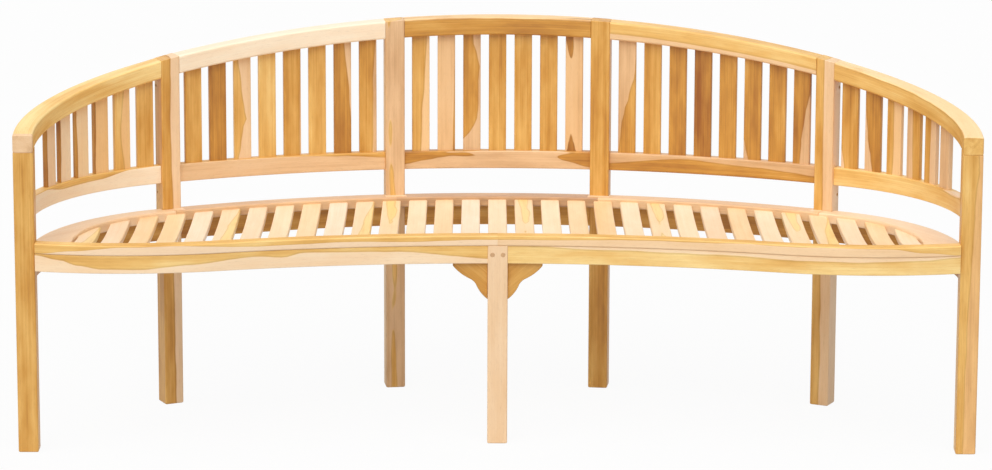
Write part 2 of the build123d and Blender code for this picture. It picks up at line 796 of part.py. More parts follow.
# Centre leg under the joint of the front boards
leg_rear_plane = rear_plane(leg_plane)
leg_bearer_joint = (half_post, bearer_tenon_bottom, apron_tenon_height)
leg_right_cuts = [tenon(leg_plane, 1, *leg_apron_joint, fit=joint_fit), leg_peg(peg_fit), bracket_bores[0]]
leg_cuts = leg_right_cuts + [mirrored(cut) for cut in leg_right_cuts]
leg_cuts.append(tenon(leg_rear_plane, 1, *leg_bearer_joint, fit=joint_fit, length=bearer_tenon_length))
with BuildPart() as center_leg:
    with BuildSketch(leg_plane):
        Rectangle(post_side, post_side, align=(Align.CENTER, Align.MIN))
    extrude(amount=front_board_bottom)
    for cut in leg_cuts:
        add(cut, mode=Mode.SUBTRACT)

# Arm posts, their tops cut to the underside of the arms
arm_post_cuts = [
    tenon(arm_post_plane, -1, *arm_apron_front_joint, fit=joint_fit),
    tenon(arm_rear_plane, 1, *lower_arm_joint, fit=joint_fit),
    tenon(arm_rear_plane, 1, *arm_apron_joint, fit=joint_fit),
]
arm_stub_block = arm_stub()
with BuildPart() as arm_post:
    with BuildSketch(arm_post_plane):
        Rectangle(post_side, post_side, align=(Align.CENTER, Align.MIN))
    extrude(amount=arm_height - top_rail_height / 2)
    add(arm_blank.part, mode=Mode.SUBTRACT)
    add(arm_stub_block)
    for cut in arm_post_cuts:
        add(cut, mode=Mode.SUBTRACT)


# Seat slats: dished boards cut to the boards' curved edges, with a tongue at each end
def slat_side_view(x, top_shift, bottom_shift, run_on):
    """Side view of the seat at x, between two depths below its dished top, with level ends that run on."""
    front = front_edge(x, front_board_width)
    back = back_edge(x, back_board_front)
    middle = ((front + back) / 2, (slat_front_top + slat_back_top) / 2 - seat_dish)
    with BuildSketch() as view:
        with BuildLine():
            for shift in (top_shift, bottom_shift):
                hollow = (middle[0], middle[1] - shift)
                ThreePointArc((front, slat_front_top - shift), hollow, (back, slat_back_top - shift))
                if run_on:
                    Line((front - run_on, slat_front_top - shift), (front, slat_front_top - shift))
                    Line((back, slat_back_top - shift), (back + run_on, slat_back_top - shift))
            for y, top in ((front - run_on, slat_front_top), (back + run_on, slat_back_top)):
                Line((y, top - top_shift), (y, top - bottom_shift))
        make_face()
    return view.sketch


with BuildSketch() as seat_field_plan:
    add(seat_inside(back_board_front))
    add(front_keep_out, mode=Mode.SUBTRACT)
with BuildPart() as seat_field:
    with BuildSketch():
        add(seat_field_plan.sketch)
        mirror(about=Plane.YZ)
    extrude(amount=tall)

tongue_overlap = tongue_length / 2
front_tongue_band = (front_board_width - tongue_length, front_board_width + tongue_overlap)
front_tongue_plan = front_band(*front_tongue_band, 0, arm_inner_x)
with BuildSketch() as back_tongue_plan:
    add(seat_inside(back_board_front - tongue_length))
    add(seat_inside(back_board_front + tongue_overlap), mode=Mode.SUBTRACT)
with BuildPart() as tongues:
    with BuildSketch(Plane.XY.offset(front_groove_bottom)):
        add(front_tongue_plan)
        mirror(about=Plane.YZ)
    extrude(amount=tongue_thickness)
    with BuildSketch(Plane.XY.offset(back_groove_bottom)):
        add(back_tongue_plan.sketch)
        mirror(about=Plane.YZ)
    extrude(amount=tongue_thickness)


def seat_slat(x):
    """Seat slat on the right half with its middle at x."""
    view = slat_side_view(x, 0, seat_slat_thickness, seat_slat_width * 2)
    with BuildPart() as board:
        with BuildSketch(Plane.YZ.offset(x)):
            add(view)
        extrude(amount=seat_slat_width / 2, both=True)
        add(seat_field.part, mode=Mode.INTERSECT)
    with BuildPart() as ends:
        with BuildSketch(Plane.XY):
            with Locations((x, 0)):
                Rectangle(seat_slat_width, 2 * bench_depth)
        extrude(amount=tall)
        add(tongues.part, mode=Mode.INTERSECT)
    return fuse([board.part, ends.part])


slat_limit = corner_x + corner_radius - back_board_front - seat_end_margin - seat_slat_width / 2
seat_slat_places = [i * seat_slat_pitch for i in range(int(slat_limit // seat_slat_pitch) + 1)]
seat_slats = {x: seat_slat(x) for x in seat_slat_places}
center_seat_slats = [seat_slats[x] for x in seat_slat_places if x < inner_post_x]
right_seat_slats = [seat_slats[x] for x in seat_slat_places if inner_post_x <= x < outer_post_x]
end_seat_slats = [seat_slats[x] for x in seat_slat_places if x >= outer_post_x]

# Centre bearer under the middle slat: its top follows the slat, its rear end goes under the back board
bearer_front = front_middle_y + post_side
bearer_step = back_edge(0, back_board_front) - notch_fit
bearer_top_shift = seat_slat_thickness + joint_fit
bearer_leg_tenon = tenon(leg_rear_plane, 1, *leg_bearer_joint, length=bearer_tenon_length)
bearer_apron_tenon = bearer_tenon()
bearer_view = slat_side_view(0, bearer_top_shift, slat_front_top - bearer_bottom, 0)
with BuildPart() as bearer:
    with BuildSketch(Plane.YZ):
        add(bearer_view)
        with Locations((bearer_front, bearer_bottom)):
            Rectangle(bench_depth, seat_height, align=(Align.MIN, Align.MIN), mode=Mode.INTERSECT)
        with Locations((bearer_step, back_board_bottom)):
            Rectangle(bench_depth, seat_height, align=(Align.MIN, Align.MIN), mode=Mode.SUBTRACT)
        with Locations((bearer_front, bearer_bottom)):
            Rectangle(bearer_end - bearer_front, bearer_height, align=(Align.MIN, Align.MIN))
    extrude(amount=bearer_width / 2, both=True)
    add(bearer_leg_tenon)
    add(bearer_apron_tenon)

# Pegs and dowels, each kind in one group
post_sides = [(inner_post_s, -1), (inner_post_s, 1), (outer_post_s, -1), (outer_post_s, 1)]
pegs = {}
for kind in ("top", "lower", "apron"):
    pegs[kind] = both_sides([rail_peg(s, side, kind) for s, side in post_sides])
back_dowel_places = [center_dowel_s] + right_dowel_places + end_dowel_places

# Every piece by its name; the right-hand ones get a left-hand twin
single_pieces = {
    "front_center_leg": center_leg.part,
    "top_rail_center": top_rail_center.part,
    "lower_rail_center": lower_rail_center.part,
    "back_slats_center": fuse(slats_center),
    "back_seat_board_center": back_board_center.part,
    "back_apron_center": back_apron_center.part,
    "seat_slats_center": fuse(center_seat_slats + [mirrored(slat) for slat in center_seat_slats[1:]]),
    "seat_bearer_center": bearer.part,
    "top_rail_pegs": pegs["top"],
    "lower_rail_pegs": pegs["lower"],
    "back_apron_pegs": pegs["apron"],
    "center_leg_pegs": both_sides([leg_peg()]),
    "front_board_dowels": both_sides([front_dowel(x) for x in front_dowel_places]),
    "back_board_dowels": both_sides([back_dowel(s) for s in back_dowel_places]),
    "bracket_dowels": both_sides(bracket_dowels()),
    "outer_post_screws": both_sides(screws),
}
right_pieces = {
    "arm_post": arm_post.part,
    "back_post_outer": outer_post_bored.part,
    "back_post_inner": inner_post.part,
    "arm_rail": arm_rail.part,
    "top_rail": top_rail_right.part,
    "lower_rail": lower_rail_right.part,
    "lower_rail_end": lower_rail_end.part,
    "back_slats": fuse(slats_right),
    "back_slats_end": fuse(slats_end),
    "front_seat_board": front_board.part,
    "front_apron": front_apron.part,
    "back_seat_board": back_board_right.part,
    "back_seat_board_end": back_board_end.part,
    "back_apron": back_apron_right.part,
    "back_apron_end": back_apron_end.part,
    "seat_slats": fuse(right_seat_slats),
    "seat_slats_end": fuse(end_seat_slats),
    "leg_bracket": bracket.part,
}
pieces = dict(single_pieces)
for name, piece in right_pieces.items():
    pieces[name + "_right"] = piece
    pieces[name + "_left"] = mirrored(piece)

os.makedirs("parts", exist_ok=True)
for name, piece in pieces.items():
    piece.label = name
    export_step(piece, f"parts/{name}.step")
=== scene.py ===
from math import asin, atan, cos, pi, radians, sin, sqrt

import bmesh
import bpy
from mathutils import Matrix, Vector


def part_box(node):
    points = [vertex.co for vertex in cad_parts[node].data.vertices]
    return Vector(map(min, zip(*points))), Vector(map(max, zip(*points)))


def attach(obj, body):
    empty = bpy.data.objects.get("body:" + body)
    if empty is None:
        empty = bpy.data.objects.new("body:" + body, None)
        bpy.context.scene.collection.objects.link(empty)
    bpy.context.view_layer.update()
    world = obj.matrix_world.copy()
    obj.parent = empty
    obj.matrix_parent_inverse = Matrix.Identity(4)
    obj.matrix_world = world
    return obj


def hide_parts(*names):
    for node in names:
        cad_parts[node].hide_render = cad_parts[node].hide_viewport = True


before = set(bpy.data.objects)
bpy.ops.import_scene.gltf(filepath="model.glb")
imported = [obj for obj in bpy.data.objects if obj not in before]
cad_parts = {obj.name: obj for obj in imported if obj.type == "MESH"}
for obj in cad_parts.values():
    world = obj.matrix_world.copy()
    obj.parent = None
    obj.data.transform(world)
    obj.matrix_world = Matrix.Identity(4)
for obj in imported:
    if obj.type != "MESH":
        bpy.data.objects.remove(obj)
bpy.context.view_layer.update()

# Curved garden bench in bare planed hardwood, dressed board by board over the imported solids.
# Metres, X to the right, Y to the rear, Z up. A board is a line with a section swept along it. It remembers
# where the middle of the tree was, so heartwood and sapwood run through it as they do in sawn wood.

UP = Vector((0, 0, 1))
RIGHT = Vector((1, 0, 0))
FRONT = Vector((0, -1, 0))

# Plan of the bench: the back is one wide arc that runs into a tighter bend at each arm
BEND_RADIUS = 0.400
CORNER_TIGHTENING = 0.080
INNER_POST_X = 0.2225
OUTER_POST_LEAD = 0.045
CROWN_RADIUS = 4.200
ARM_MID_RISE = 0.266

# Plan of the seat's front edge: hollow in the middle, full towards the ends
FRONT_BULGE_INSET = 0.216
FRONT_END_RADIUS = 0.790
FRONT_DIP = 0.103

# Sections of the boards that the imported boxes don't show, with how much their long edges are eased
POST_EASE = 0.0028
TOP_RAIL_HEIGHT = 0.039
TOP_RAIL_EASE = 0.0045
LOWER_RAIL_DEPTH = 0.024
LOWER_RAIL_EASE = 0.0028
BACK_SLAT = (0.038, 0.011)
BACK_SLAT_EASE = 0.0022
BACK_SLAT_HOUSING = 0.010
APRON_DEPTH = 0.020
APRON_EASE = 0.0018
FRONT_APRON_SETBACK = 0.002
BACK_APRON_SETBACK = 0.003
FRONT_BOARD_WIDTH = 0.030
FRONT_BOARD_EASE = 0.0034
BACK_BOARD_FRONT = 0.026
BACK_BOARD_REAR = 0.014
BACK_BOARD_EASE = 0.0032
SEAT_SLAT = (0.040, 0.013)
SEAT_SLAT_EASE = 0.0030
SEAT_SLAT_GAP = 0.0175
SEAT_DISH = 0.005
SEAT_SLAT_DROPS = (0.002, 0.007)
JOINT_EASE = 0.0006
FOOT_EASE = 0.0030
SNUG = 0.0003

# Slats of the back: even panels between the posts, and a run that starts behind each arm
BACK_SLAT_GAP = 0.0172
BACK_SLAT_END_GAP = 0.008
ARM_SLAT_GAP = 0.0150
ARM_SLAT_FIRST_GAP = 0.0125
ARM_SLAT_COUNT = 6

# Pegs, dowels and screws
TENON_LENGTH = 0.014
TENON_THICKNESS = 0.012
PEG_OVERRUN = 0.002
PEG_DIAMETER = 0.008
LEG_PEG = (0.010, 0.026, 0.022)
FRONT_DOWEL = (0.008, 0.024, 0.0144)
FRONT_DOWEL_PITCH = 0.220
BACK_DOWEL = (0.006, 0.020)
BRACKET_DOWEL = (0.006, 0.020)
SCREW_HEAD = (0.007, 0.003)
SCREW_SHANK = (0.004, 0.022)
SCREW_BORE = (0.0072, 0.009)
SCREW_EDGE = 0.009
SCREW_DROP = 0.024
SCREW_SIDES = 32
BORE_SIDES = 28

# Bracket under the seat, measured from the corner of leg and apron
BRACKET_CUSP = (0.027, 0.039)
BRACKET_LIP = 0.007
BRACKET_BULGE = 0.004
BRACKET_HOLLOW = 0.020

# How finely lines are stepped, crossings are sought and round edges are divided
STEP = 0.012
STRAIGHT_STEP = 3 * STEP
NUDGE = 1e-4
HALVINGS = 40
EASE_SEGMENTS = 4
EASE_DEGREES = (0, 30, 60, 90)
SHARP_EDGE = radians(38)

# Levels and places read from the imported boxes
arm_post_low, arm_post_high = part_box("arm_post_right")
POST = arm_post_high.x - arm_post_low.x
HALF_POST = POST / 2
ARM_INNER_X = arm_post_low.x
ARM_POST_Y = arm_post_low.y
BENCH_HALF = arm_post_high.x
front_board_low, front_board_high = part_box("front_seat_board_right")
SEAT_HEIGHT = front_board_high.z
FRONT_Y = front_board_low.y
front_apron_low, front_apron_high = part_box("front_apron_right")
back_board_low, back_board_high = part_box("back_seat_board_center")
back_apron_low, back_apron_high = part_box("back_apron_center")
lower_rail_low, lower_rail_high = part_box("lower_rail_center")
arm_rail_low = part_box("arm_rail_right")[0]
top_rail_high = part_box("top_rail_center")[1]
bracket_low, bracket_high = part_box("leg_bracket_right")
bearer_low, bearer_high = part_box("seat_bearer_center")

# The curves that follow from those
BACK_Y = top_rail_high.y - POST
BEND_X = ARM_INNER_X - BEND_RADIUS
BEND_Y = ARM_POST_Y + HALF_POST
BACK_BOW = BACK_Y - BEND_Y - BEND_RADIUS
BACK_RADIUS = (BEND_X**2 + (BACK_Y - BEND_Y) ** 2 - BEND_RADIUS**2) / (2 * BACK_BOW)
BACK_CENTER_Y = BACK_Y - BACK_RADIUS
BEND_ANGLE = asin(BEND_X / (BACK_RADIUS - BEND_RADIUS))
BEND_START = BACK_RADIUS * BEND_ANGLE
BEND_END = BEND_START + BEND_RADIUS * (pi / 2 - BEND_ANGLE)
ARM_END = BEND_END + HALF_POST
CORNER_RADIUS = BEND_RADIUS - CORNER_TIGHTENING
CORNER_X = BEND_X + CORNER_TIGHTENING * sin(BEND_ANGLE)
CORNER_Y = BEND_Y + CORNER_TIGHTENING * cos(BEND_ANGLE)
INNER_POST_S = BACK_RADIUS * asin(INNER_POST_X / BACK_RADIUS)
OUTER_POST_S = BEND_START - OUTER_POST_LEAD
OUTER_POST_X = BACK_RADIUS * sin(OUTER_POST_S / BACK_RADIUS)
BACK_HEIGHT = top_rail_high.z
ARM_HEIGHT = arm_rail_low.z + TOP_RAIL_HEIGHT
ARM_MID_HEIGHT = SEAT_HEIGHT + ARM_MID_RISE
FRONT_BULGE_X = BENCH_HALF - FRONT_BULGE_INSET
FRONT_ANGLE = 2 * atan(FRONT_DIP / FRONT_BULGE_X)
FRONT_RADIUS = FRONT_BULGE_X / sin(FRONT_ANGLE) - FRONT_END_RADIUS
FRONT_MIDDLE_Y = FRONT_Y + FRONT_DIP
LOWER_RAIL_Z = (lower_rail_low.z + lower_rail_high.z) / 2
LOWER_RAIL_HEIGHT = lower_rail_high.z - lower_rail_low.z
BACK_APRON_OUT = BACK_APRON_SETBACK + APRON_DEPTH / 2
BACK_APRON_Z = (back_apron_low.z + back_apron_high.z) / 2
BACK_APRON_HEIGHT = back_apron_high.z - back_apron_low.z
FRONT_APRON_INSET = FRONT_APRON_SETBACK + APRON_DEPTH / 2
FRONT_APRON_Z = (front_apron_low.z + front_apron_high.z) / 2
FRONT_APRON_HEIGHT = front_apron_high.z - front_apron_low.z
FRONT_BOARD_BOTTOM = front_board_low.z
SLAT_FRONT_TOP = SEAT_HEIGHT - SEAT_SLAT_DROPS[0]
SLAT_BACK_TOP = back_board_high.z - SEAT_SLAT_DROPS[1]


def station(s):
    """Point on the posts' front faces at arc length s from the middle, the way on, and the way out."""
    length = abs(s)
    side = -1 if s < 0 else 1
    if length <= BEND_START:
        angle = length / BACK_RADIUS
        x, y = BACK_RADIUS * sin(angle), BACK_CENTER_Y + BACK_RADIUS * cos(angle)
    elif length <= BEND_END:
        angle = BEND_ANGLE + (length - BEND_START) / BEND_RADIUS
        x, y = BEND_X + BEND_RADIUS * sin(angle), BEND_Y + BEND_RADIUS * cos(angle)
    else:
        angle = pi / 2
        x, y = ARM_INNER_X, BEND_Y - (length - BEND_END)
    onward = Vector((cos(angle), -side * sin(angle), 0))
    outward = Vector((side * sin(angle), cos(angle), 0))
    return Vector((side * x, y, 0)), onward, outward


def beside_back(out, level):
    """A line that keeps one distance outside the posts' front faces, as a function of arc length."""

    def place(s):
        point, _, outward = station(s)
        return point + outward * out + UP * level

    return place


def top_height(s):
    """Top of the back and the arms at arc length s."""
    s = abs(s)
    if s <= OUTER_POST_S:
        return BACK_HEIGHT - CROWN_RADIUS + sqrt(CROWN_RADIUS**2 - s**2)
    start = BACK_HEIGHT - CROWN_RADIUS + sqrt(CROWN_RADIUS**2 - OUTER_POST_S**2)
    share = (s - OUTER_POST_S) / (ARM_END - OUTER_POST_S)
    bend = 2 * (start + ARM_HEIGHT - 2 * ARM_MID_HEIGHT)
    return start + (ARM_HEIGHT - start - bend) * share + bend * share**2


def front_edge(x, inset):
    """Y of the seat's front edge at x, moved into the seat by inset."""
    x = abs(x)
    if x <= (FRONT_RADIUS + inset) * sin(FRONT_ANGLE):
        return FRONT_MIDDLE_Y - FRONT_RADIUS + sqrt((FRONT_RADIUS + inset) ** 2 - x**2)
    return FRONT_Y + FRONT_END_RADIUS - sqrt((FRONT_END_RADIUS - inset) ** 2 - (x - FRONT_BULGE_X) ** 2)


def beside_front(inset, level):
    """A line that keeps one distance inside the seat's front edge, as a function of x."""
    return lambda x: Vector((x, front_edge(x, inset), level))


def back_edge(x, inset):
    """Y of the seat's rear edge at x, moved into the seat by inset. Its corners are tighter than the back."""
    x = abs(x)
    if x <= (BACK_RADIUS - inset) * sin(BEND_ANGLE):
        return BACK_CENTER_Y + sqrt((BACK_RADIUS - inset) ** 2 - x**2)
    return CORNER_Y + sqrt((CORNER_RADIUS - inset) ** 2 - (x - CORNER_X) ** 2)


def slope_of(edge, x, inset):
    """Plan direction square to an edge at x."""
    rise = (edge(x + NUDGE, inset) - edge(x - NUDGE, inset)) / (2 * NUDGE)
    return Vector((-rise, 1, 0))


def meeting(place, near, far, point, normal):
    """Parameter between near and far at which a line meets a plane."""
    low, high = near, far
    low_side = (place(low) - point).dot(normal) > 0
    for _ in range(HALVINGS):
        middle = (low + high) / 2
        if ((place(middle) - point).dot(normal) > 0) == low_side:
            low = middle
        else:
            high = middle
    return (low + high) / 2


# Edges of the heartwood on a face, in half widths from its middle: past both sides, or nowhere on the face
FAR = 9
ALL_HEART = (-FAR, FAR)
NO_HEART = (8, 8.1)
SAPWOOD = (0.5, *NO_HEART)

# Depth of the middle of the tree below a face: in most boards, and where the face was cut close to it
PITH_DEPTH = 0.030
NEAR_PITH = 0.016
SEED_STEP = 1.37


def heart_below(*edges):
    """Heartwood up to an edge of its own, listed by the share of the way along."""
    return [(share, -FAR, edge) for share, edge in edges]


def heart_above(*edges):
    """Heartwood from an edge of its own upwards, listed by the share of the way along."""
    return [(share, edge, FAR) for share, edge in edges]


class Board:
    """How one board was sawn. Heart lists where heartwood shows on its face: the share of the way along,
    and the low and high edge in half widths. Deep makes its heartwood darker, sap its sapwood, warm turns the
    sapwood golden, and pith is the distance from the face down to the middle of the tree."""

    count = 0

    def __init__(self, *heart, warm=0.0, deep=0.0, sap=0.0, pith=PITH_DEPTH):
        self.heart = heart or ((0.5, *ALL_HEART),)
        self.warm = warm
        self.deep = deep
        self.sap = sap
        self.pith = pith
        Board.count += 1
        self.seed = Board.count * SEED_STEP

    def edges(self, share):
        """Low and high edge of the heartwood at a share of the way along, eased between the listed places."""
        before = [stop for stop in self.heart if stop[0] <= share]
        after = [stop for stop in self.heart if stop[0] >= share]
        first = before[-1] if before else self.heart[0]
        last = after[0] if after else self.heart[-1]
        span = last[0] - first[0]
        part = (share - first[0]) / span if span > 0 else 0.0
        part = part * part * (3 - 2 * part)
        return [first[i] + (last[i] - first[i]) * part for i in (1, 2)]

    def middle_of_tree(self, share, width, height):
        """Place of the pith in the section, and the radius at which sapwood starts."""
        low, high = self.edges(share)
        half = (high - low) / 2 * width / 2
        radius = sqrt(max(0.0, self.pith**2 + half * abs(half)))
        return (low + high) / 2 * width / 2, height / 2 - self.pith, radius


class Strip:
    """One board laid out: the points and tangents of its line, the way its face looks at each, how its ends
    are cut, how far each point is lifted after the sweep, and how far its end corners are eased."""

    def __init__(self, line, facing, board, cuts=(None, None), lift=None, eases=(JOINT_EASE, JOINT_EASE)):
        self.board = board
        spans = [(line[i + 1][0] - line[i][0]).length for i in range(len(line) - 1)]
        along = [sum(spans[:i]) for i in range(len(line))]
        self.length = along[-1]
        rings = [(*stop, run, 0.0) for stop, run in zip(line, along)]
        rings = self.rounded(rings, eases[0]) + rings[1:-1] + self.rounded(rings[::-1], eases[1])[::-1]
        skews = [self.skew(line[0][1], cuts[0]), self.skew(line[-1][1], cuts[1])]
        self.points = []
        for point, tangent, at, run, inset in rings:
            share = min(1.0, max(0.0, run / self.length))
            self.points.append({
                "spine": point,
                "tangent": tangent,
                "facing": facing(tangent),
                "cut": tangent + skews[0].lerp(skews[1], share),
                "along": run,
                "inset": inset,
                "lift": lift(at) if lift else 0.0,
                "share": share,
            })

    @staticmethod
    def skew(tangent, cut):
        """How far an end plane leans away from square."""
        return cut / cut.dot(tangent) - tangent if cut else Vector()

    @staticmethod
    def rounded(rings, ease):
        """Rings that round off the end that a list of rings starts with."""
        point, tangent, at, run, _ = rings[0]
        inward = 1 if rings[1][3] > run else -1
        made = []
        for degree in EASE_DEGREES:
            back = inward * ease * (1 - cos(radians(degree)))
            made.append((point + tangent * back, tangent, at, run + back, ease * (1 - sin(radians(degree)))))
        return made


def trace(place, start, stop, step=STEP):
    """Points, tangents and parameters along a line, from one parameter to another."""
    count = max(3, round(abs(stop - start) / step) + 1)
    nudge = (stop - start) * NUDGE
    line = []
    for i in range(count):
        at = start + (stop - start) * i / (count - 1)
        line.append((place(at), (place(at + nudge) - place(at - nudge)).normalized(), at))
    return line


def straight(start, stop, step=STRAIGHT_STEP):
    """Points and tangents along a straight line."""
    length = (stop - start).length
    return trace(lambda run: start.lerp(stop, run / length), 0.0, length, step)


def faces_front(tangent):
    """Show face of a rail or an apron."""
    return tangent.cross(UP).normalized()


def always(direction):
    """Show face that looks one way all along."""
    return lambda tangent: direction


class Wire:
    """An output socket. Sums on it become Math nodes, and add() puts any other node into its tree. A wire
    without a socket stands for the tree alone."""

    def __init__(self, tree, socket=None):
        self.tree = tree
        self.socket = socket

    def add(self, kind, settings=None, inputs=None, output=0):
        """A node of any kind, its settings first and then its sockets, as the wire of one output."""
        node = self.tree.nodes.new(kind)
        for name, value in (settings or {}).items():
            if name == "stops":
                self.set_stops(node.color_ramp, value)
            else:
                setattr(node, name, value)
        for name, value in (inputs or {}).items():
            if isinstance(value, Wire):
                self.tree.links.new(value.socket, node.inputs[name])
            else:
                node.inputs[name].default_value = value
        return Wire(self.tree, node.outputs[output] if len(node.outputs) else None)

    @staticmethod
    def set_stops(ramp, stops):
        while len(ramp.elements) < len(stops):
            ramp.elements.new(1.0)
        for element, (position, color) in zip(ramp.elements, stops):
            element.position = position
            element.color = color

    def math(self, operation, *terms):
        """A Math node on the listed terms alone."""
        return self.add("ShaderNodeMath", {"operation": operation}, dict(enumerate(terms)))

    def vector(self, operation, *terms, output="Vector"):
        """A Vector Math node on the listed terms alone."""
        return self.add("ShaderNodeVectorMath", {"operation": operation}, dict(enumerate(terms)), output)

    def scaled(self, factor):
        return self.add("ShaderNodeVectorMath", {"operation": "SCALE"}, {"Vector": self, "Scale": factor})

    def dot(self, other):
        return self.vector("DOT_PRODUCT", self, other, output="Value")

    def joined(self, **parts):
        """A vector of up to three numbers."""
        return self.add("ShaderNodeCombineXYZ", None, parts)

    def parts(self):
        """The three numbers of a vector."""
        split = self.add("ShaderNodeSeparateXYZ", None, {"Vector": self}).socket.node
        return [Wire(self.tree, socket) for socket in split.outputs]

    def smooth(self, low, high):
        """Soft step from 0 to 1 between two values."""
        spread = {"Value": self, "From Min": low, "From Max": high}
        return self.add("ShaderNodeMapRange", {"interpolation_type": "SMOOTHSTEP"}, spread)

    def blend(self, first, second):
        """Mix of two colours by this value."""
        return self.add("ShaderNodeMix", {"data_type": "RGBA"}, {0: self, 6: first, 7: second}, 2)

    def __add__(self, other):
        return self.math("ADD", self, other)

    def __sub__(self, other):
        return self.math("SUBTRACT", self, other)

    def __rsub__(self, other):
        return self.math("SUBTRACT", other, self)

    def __mul__(self, other):
        return self.math("MULTIPLY", self, other)

    def __truediv__(self, other):
        return self.math("DIVIDE", self, other)

    __radd__ = __add__
    __rmul__ = __mul__


def color(red, green, blue):
    """Colour written in the usual 0 to 255, as the linear values that shaders use."""
    return (*[((c / 255 + 0.055) / 1.055) ** 2.4 for c in (red, green, blue)], 1.0)


def cleared(owner):
    """Empty node tree of a material or a world."""
    owner.use_nodes = True
    owner.node_tree.nodes.clear()
    return Wire(owner.node_tree)


def finish_surface(net, finish):
    """Ends a material's tree with one shader."""
    shader = net.add("ShaderNodeBsdfPrincipled", None, finish)
    net.add("ShaderNodeOutputMaterial", None, {"Surface": shader})


# Colours of the wood
HEART_STOPS = [
    (0.00, color(250, 217, 146)),
    (0.30, color(234, 185, 103)),
    (0.62, color(206, 147, 60)),
    (1.00, color(148, 84, 22)),
]
SAP_STOPS = [
    (0.00, color(254, 238, 212)),
    (0.36, color(246, 214, 176)),
    (0.64, color(234, 194, 148)),
    (0.80, color(210, 166, 120)),
    (1.00, color(174, 131, 96)),
]
WARM_TINT = color(255, 241, 204)
BOUNDARY_LINE = color(128, 82, 36)
HEART_TONE = 0.3377
SAP_TONE = 0.2771
WOOD_ROUGHNESS = 0.46

# Noises drawn out along the boards: scale along, scale across, detail and shift
DRIFT = (5.0, 18.0, 2.0, 1.7)
RIPPLE = (22.0, 40.0, 2.0, 4.3)
BANDS = (1.6, 130.0, 3.0, 11.2)
STREAKS = (4.5, 620.0, 3.0, 15.8)
CLOUDS = (7.0, 34.0, 3.0, 21.4)
PORES = (70.0, 1900.0, 1.0, 27.5)
PORE_CUT = (0.62, 0.74)
NOISE_MIDDLE = 0.5
NOISE_ROUGHNESS = 0.55
SEED_RUN = 3.1

# How far they bend the heartwood's edge, in metres, and how soft that edge and its dark line are
DRIFT_ACROSS = 0.009
DRIFT_INWARD = 0.006
RIPPLE_ACROSS = 0.0022
HEART_TIP = 0.0025
SAP_EDGE = (-0.0006, 0.0016)
LINE_START = (-0.00384, -0.00064)
LINE_END = (-0.00048, 0.00080)

# How much they darken the wood, raise it and dull it. Sapwood shows less of it than heartwood
CLOUD_SHADE = 0.85
BAND_SHADE = 0.40
STREAK_SHADE = 0.42
LINE_SHADE = 0.24
PORE_SHADE = 0.22
SAP_FIGURE = 0.50
SAP_RANGE = 0.8
STREAK_RELIEF = 0.6
PORE_RELIEF = 0.8
BAND_DULLNESS = 0.16
PORE_DULLNESS = 0.12


def hardwood(name, bias):
    """Bare planed wood that follows each board's own grain: heartwood with clouds, bands and streaks, pale
    sapwood past the sap radius, a thin dark line between them, and fine pores."""
    material = bpy.data.materials.new(name)
    net = cleared(material)

    def stored(label):
        return net.add("ShaderNodeAttribute", {"attribute_name": label}, None, "Vector").parts()

    along, across, inward = stored("grain")
    pith_across, pith_inward, sap_radius = stored("pith")
    warm, deep, sap_deep = stored("tone")
    seed = net.add("ShaderNodeAttribute", {"attribute_name": "seed"}, None, "Fac")

    def fibre(along_scale, across_scale, detail, shift):
        """Noise drawn out along the board."""
        spot = net.joined(X=along * along_scale + (seed * SEED_RUN + shift), Y=across * across_scale + seed,
                          Z=inward * across_scale + shift)
        sockets = {"Vector": spot, "Scale": 1.0, "Detail": detail, "Roughness": NOISE_ROUGHNESS}
        return net.add("ShaderNodeTexNoise", {"noise_dimensions": "3D"}, sockets)

    drift = fibre(*DRIFT) - NOISE_MIDDLE
    ripple = fibre(*RIPPLE) - NOISE_MIDDLE
    bands = fibre(*BANDS) - NOISE_MIDDLE
    clouds = fibre(*CLOUDS) - NOISE_MIDDLE
    streaks = fibre(*STREAKS) - NOISE_MIDDLE
    pores = fibre(*PORES).smooth(*PORE_CUT)

    figure = clouds * CLOUD_SHADE + bands * BAND_SHADE + streaks * STREAK_SHADE
    heart_tone = HEART_TONE + bias + deep + figure
    heart = net.add("ShaderNodeValToRGB", {"stops": HEART_STOPS}, {"Fac": heart_tone})
    sap_tone = SAP_TONE + (bias + sap_deep) * SAP_RANGE + figure * SAP_FIGURE
    sap = net.add("ShaderNodeValToRGB", {"stops": SAP_STOPS}, {"Fac": sap_tone})
    golden = net.add("ShaderNodeMix", {"data_type": "RGBA", "blend_type": "MULTIPLY"},
                     {0: 1.0, 6: sap, 7: WARM_TINT}, 2)

    left_right = across - pith_across + drift * DRIFT_ACROSS + ripple * RIPPLE_ACROSS
    near_far = inward - pith_inward + drift * DRIFT_INWARD
    reach = net.math("MAXIMUM", net.math("ABSOLUTE", left_right), HEART_TIP)
    past = (left_right * left_right + near_far * near_far - sap_radius * sap_radius) / (reach * 2)
    line = past.smooth(*LINE_START) * (1 - past.smooth(*LINE_END))
    wood = past.smooth(*SAP_EDGE).blend(heart, warm.blend(sap, golden))
    wood = (line * LINE_SHADE).blend(wood, BOUNDARY_LINE)
    wood = (pores * PORE_SHADE).blend(wood, BOUNDARY_LINE)

    relief = streaks * STREAK_RELIEF - pores * PORE_RELIEF
    bump = net.add("ShaderNodeBump", None, {"Strength": 0.35, "Distance": 0.0004, "Height": relief})
    gloss = WOOD_ROUGHNESS + bands * BAND_DULLNESS + pores * PORE_DULLNESS
    finish_surface(net, {"Base Color": wood, "Roughness": gloss, "Normal": bump, "Coat Weight": 0.15,
                         "Coat Roughness": 0.35})
    return material


